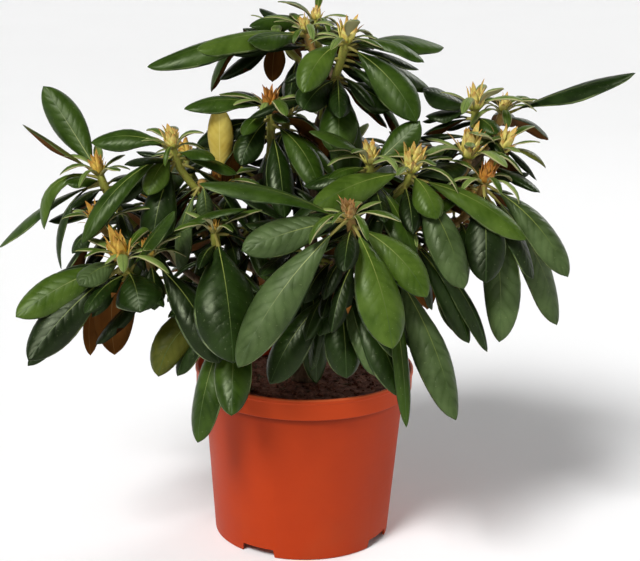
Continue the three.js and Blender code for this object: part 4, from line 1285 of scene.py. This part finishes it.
def potFinish():
    finish = Finish("pot_plastic", 0.12)
    under = (pot["height"] - pot["rimBand"]) * mm
    top = pot["height"] * mm
    mottle = finish.grain(30, 3, 0.55)
    dust = finish.flecks(0.5, 0.78, 11, 4, 0.6)
    colour = finish.blend(mottle, tint(161, 50, 12), tint(175, 58, 17))
    # painted light: the band above its foot is painted a lighter orange than the body
    colour = finish.blend(finish.level(under, under + 0.002), colour, tint(182, 62, 19))
    # painted shade under the band, a painted highlight along the top of the rolled edge, and earth has
    # splashed near the foot
    underBandShade = finish.ramp(finish.level(under - 0.008, under + 0.002), (0.0, grey(0)), (0.62, grey(0.6)),
                        (0.78, grey(0.9)), (0.86, grey(0)))
    colour = finish.blend(underBandShade * (0.85 + 0.3 * finish.grain(11, 4, 0.6)), colour, tint(66, 17, 5))
    # painted highlight: the top of the rolled edge is painted paler
    colour = finish.blend(finish.level(top - 0.0022, top - 0.0008) * 0.55, colour, tint(214, 108, 62))
    colour = finish.blend(dust * finish.level(0.0, 0.05, 0.35, 0.06), colour, tint(150, 84, 50))
    rings = finish.bump(finish.grain(26, 2, 0.5, 12), 0.2, 0.0006)
    relief = finish.bump(finish.grain(700, 3, 0.6), 0.12, 0.0003, rings)
    return finish.coat(colour, 0.44 + 0.14 * mottle + 0.1 * dust, relief)


def rounded(profile):
    # each corner of a closed outline becomes a short arc
    most = potLook["edgeMost"]
    outline = []
    for i, corner in enumerate(profile):
        here = np.array(corner)
        before, after = np.array(profile[i - 1]) - here, np.array(profile[(i + 1) % len(profile)]) - here
        if not corner[0]:
            outline.append(here)
            continue
        reach = min(potLook["edge"], np.linalg.norm(before) * most, np.linalg.norm(after) * most)
        a, c = here + unit(before) * reach, here + unit(after) * reach
        outline += [a * (1 - t) ** 2 + 2 * here * t * (1 - t) + c * t * t for t in potLook["edgeSteps"]]
    return outline


def spun(outline, steps, closed=True):
    # an outline of radius and height, turned once round the upright axis
    bm = bmesh.new()
    verts = [bm.verts.new((r * mm, 0, z * mm)) for r, z in outline]
    ends = verts[1:] + verts[:1] if closed else verts[1:]
    edges = [bm.edges.new((a, b)) for a, b in zip(verts, ends) if max(a.co.x, b.co.x) > 1e-6]
    bmesh.ops.spin(bm, geom=verts + edges, cent=(0, 0, 0), axis=(0, 0, 1), angle=2 * math.pi, steps=steps,
                   use_merge=True)
    bmesh.ops.remove_doubles(bm, verts=bm.verts[:], dist=1e-6)
    bmesh.ops.recalc_face_normals(bm, faces=bm.faces[:])
    return bm


def wallRadius(z):
    return pot["footRadius"] + (pot["bodyRadius"] - pot["footRadius"]) * z / (pot["height"] - pot["rimBand"])


def notchCutters():
    look = potLook
    half = pot["footRadius"] * math.sin(math.radians(look["notchWidth"] / 2))
    size = Vector((2 * half, look["notchDepth"], look["notchHeight"] * 2)) * mm
    cutter = bmesh.new()
    for k in range(look["notches"]):
        verts = bmesh.ops.create_cube(cutter, size=1)["verts"]
        bmesh.ops.scale(cutter, vec=size, verts=verts)
        tops = [v for v in verts if v.co.z > 0]
        bmesh.ops.scale(cutter, vec=(1 - look["notchSlant"] / half, 1, 1), verts=tops)
        bmesh.ops.translate(cutter, vec=(0, -pot["footRadius"] * mm, 0), verts=verts)
        turn = Matrix.Rotation(math.radians(look["notchFrom"] + 360 * k / look["notches"]), 3, "Z")
        bmesh.ops.rotate(cutter, cent=(0, 0, 0), matrix=turn, verts=verts)
    return meshPiece("pot_notches", cutter)


def buildPot():
    look = potLook
    top = pot["height"]
    under = top - pot["rimBand"]
    rim = pot["rimRadius"]
    band = rim - pot["bandInset"]
    wall = pot["wall"]
    edge = pot["rimEdge"]
    floorTop = pot["floorHeight"] + pot["floorThick"]
    profile = [
        (wallRadius(0) - wall, 0), (wallRadius(0), 0), (wallRadius(under), under),
        (band - pot["bandLip"], under), (band, under + pot["bandFoot"]),
        (rim - edge, top - look["bead"] - edge), (rim, top - look["bead"]),
        (rim, top - edge), (rim - edge, top), (rim - pot["rimRoll"], top),
        (band - wall, under + wall + edge), (wallRadius(under) - wall, under + wall + edge),
        (wallRadius(floorTop) - wall, floorTop), (0, floorTop), (0, pot["floorHeight"]),
        (wallRadius(pot["floorHeight"]) - wall, pot["floorHeight"]),
    ]
    piece = meshPiece("pot_shell", spun(rounded(profile), look["steps"]), potFinish())
    cut = piece.modifiers.new("notches", "BOOLEAN")
    cut.object = notchCutters()
    cut.operation = "DIFFERENCE"
    cut.solver = "EXACT"
    bpy.context.view_layer.update()
    finished = bpy.data.meshes.new_from_object(piece.evaluated_get(bpy.context.evaluated_depsgraph_get()))
    bpy.data.objects.remove(cut.object)
    piece.modifiers.clear()
    piece.data = finished
    finished.set_sharp_from_angle(angle=math.radians(look["sharp"]))
    settlePiece(piece, "pot", "pot")
    print("pot made")


buildPot()


soilLook = {
    "dome": 5, "gap": 0.6, "rings": 26, "wallRings": 5, "steps": 96, "relief": 1.6, "reliefDown": 1,
    "lumpScale": 90, "lumps": (0.7, 2.1, 4),
}


def soilFinish():
    finish = Finish("soil", 0.2)
    clods = finish.grain(150, 5, 0.7)
    tones = ((0.34, tint(78, 50, 40)), (0.55, tint(132, 90, 72)), (0.75, tint(168, 126, 102)))
    specks = finish.flecks(0.66, 0.72, 520) * 0.5
    colour = finish.blend(specks, finish.ramp(clods, *tones), tint(176, 142, 112))
    relief = finish.bump(finish.grain(900, 4, 0.7), 0.8, 0.001, finish.bump(clods, 0.8, 0.003))
    return finish.coat(colour, 0.85 + 0.13 * clods, relief)


def soilRadius(z):
    return wallRadius(z) - pot["wall"] - soilLook["gap"]


def buildSoilTop():
    look = soilLook
    rim = soilTop - look["dome"]
    low = pot["floorHeight"] + pot["floorThick"] + clearance
    shares = np.linspace(0, 1, look["rings"])
    outline = [(soilRadius(rim) * s, soilTop - look["dome"] * s * s) for s in shares]
    outline += [(soilRadius(z), z) for z in np.linspace(outline[-1][1], low, look["wallRings"])[1:]]
    bm = spun(outline + [(0, low)], look["steps"])
    for vert in bm.verts:
        if vert.co.z > (rim - look["reliefDown"]) * mm:
            vert.co.z += noise.fractal(vert.co * look["lumpScale"], *look["lumps"]) * look["relief"] * mm
    piece = meshPiece("soil_top", bm, soilFinish())
    settlePiece(piece, "soil", "soil")
    return piece.data.materials[0]


crumbLook = {
    "crumb": {"finish": "earth", "count": 620, "stretch": 1, "section": (0.75, 1, 0.7)},
    "chip": {"finish": "bark", "count": 70, "stretch": 3.2, "section": (0.5, 0.6, 0.45)},
    "seed": 61, "spread": 0.96, "seat": 0.4, "size": (0.8, 2.6), "slope": 50, "half": 0.6, "sides": 6,
    "rough": 0.5,
}


def buildCrumbs(earth):
    # crumbs of earth and chips of bark, strewn on the soil clear of the stem
    look = crumbLook
    radius = soilRadius(soilTop - soilLook["dome"])
    batch = Batch()
    random = seeded(look["seed"])
    for form in [look[kind] for kind in ("crumb", "chip") for _ in range(look[kind]["count"])]:
        out = radius * look["spread"] * math.sqrt(next(random))
        turn = next(random) * 2 * math.pi
        high = soilTop - soilLook["dome"] * (out / radius) ** 2
        at = np.array((out * math.cos(turn), out * math.sin(turn), high + look["seat"]))
        if math.dist(at[:2], (0, 0)) < trunk["flare"]:
            continue
        size = between(*look["size"], next(random) ** 2)
        along = heading(next(random) * 360, (next(random) - 0.5) * look["slope"]) * size * form["stretch"]
        path = at + along * np.array((-look["half"], 0, look["half"]))[:, None]
        rings = tubeRings(path, size * np.array(form["section"]), look["sides"])
        strays = np.array([next(random) for _ in range(rings.size)]).reshape(rings.shape)
        rings += (strays - 0.5) * size * look["rough"]
        batch.add(rings, at - along, at + along, form["finish"])
    piece = batch.build("soil_crumbs", {"earth": earth, "bark": stemFinishes["wood"]})
    settlePiece(piece, "soil", "soil")


buildCrumbs(buildSoilTop())
print("soil made")


studio = {  # the floor's outline is in radius and height
    "floor": ((0, 0), (9, 0), (10.5, 0.12), (12, 0.5), (14, 1.4), (16, 2.9), (18, 5), (19.5, 7.5)),
    "steps": 96, "under": 0.5, "world": 0.08, "aim": (0, 0, 0.3),
}
lamps = {  # kind, place, power, and size: degrees for a sun, metres for a disk
    "window": ("SUN", (-0.6, -0.95, 1.5), 2.9, 20),
    "behind": ("SUN", (0.9, 1.2, 1.2), 0.8, 20),
    "key": ("AREA", (-0.9, -1.3, 1.9), 8.0, 1.1),
    "fill": ("AREA", (1.7, -1.1, 1.1), 2.0, 1.4),
    "back": ("AREA", (0.5, 1.6, 1.7), 3.0, 1.2),
}


def floorFinish():
    finish = Finish("floor", 0.1)
    patches = finish.grain(2.0)
    return finish.coat(finish.blend(patches, grey(0.92), grey(0.94)), 0.8 + 0.1 * patches)


def buildFloor():
    # level round the plant and rising far off, so that it stands behind the plant from every side
    outline = [(r / mm, z / mm - studio["under"]) for r, z in studio["floor"]]
    bm = spun(outline, studio["steps"], closed=False)
    if sum(face.normal.z for face in bm.faces) < 0:
        bmesh.ops.reverse_faces(bm, faces=bm.faces[:])
    meshPiece("floor", bm, floorFinish())


def addLamp(name, kind, place, power, size):
    lamp = bpy.data.lights.new(name, kind)
    lamp.energy = power
    if kind == "SUN":
        lamp.angle = math.radians(size)
    else:
        lamp.shape = "DISK"
        lamp.size = size
    lit = placed(name, lamp)
    lit.location = place
    lit.rotation_euler = (Vector(studio["aim"]) - Vector(place)).to_track_quat("-Z", "Y").to_euler()


def lightScene():
    world = bpy.data.worlds.new("studio")
    world.use_nodes = True
    sky = world.node_tree.nodes["Background"]
    sky.inputs["Color"].default_value = grey(1)
    sky.inputs["Strength"].default_value = studio["world"]
    bpy.context.scene.world = world
    bpy.context.scene.view_settings.view_transform = "Standard"
    for name, lamp in lamps.items():
        addLamp(name, *lamp)


view = {  # turns in radians, focal length and width in pixels
    "place": (0, -1.65, 0.7398), "pitch": 0.275, "roll": 0.02185, "yaw": 0.0088, "focal": 1645.2, "wide": 640,
}


def placeCamera():
    lens = bpy.data.cameras.new("camera")
    lens.sensor_width = 36
    lens.lens = view["focal"] / view["wide"] * lens.sensor_width
    lens.clip_end = 100
    camera = placed("camera", lens)
    turn = Matrix.Rotation(-view["yaw"], 4, "Z") @ Matrix.Rotation(math.pi / 2 - view["pitch"], 4, "X")
    camera.matrix_world = Matrix.Translation(view["place"]) @ turn @ Matrix.Rotation(view["roll"], 4, "Z")
    bpy.context.scene.camera = camera


buildFloor()
lightScene()
placeCamera()
print("studio ready")
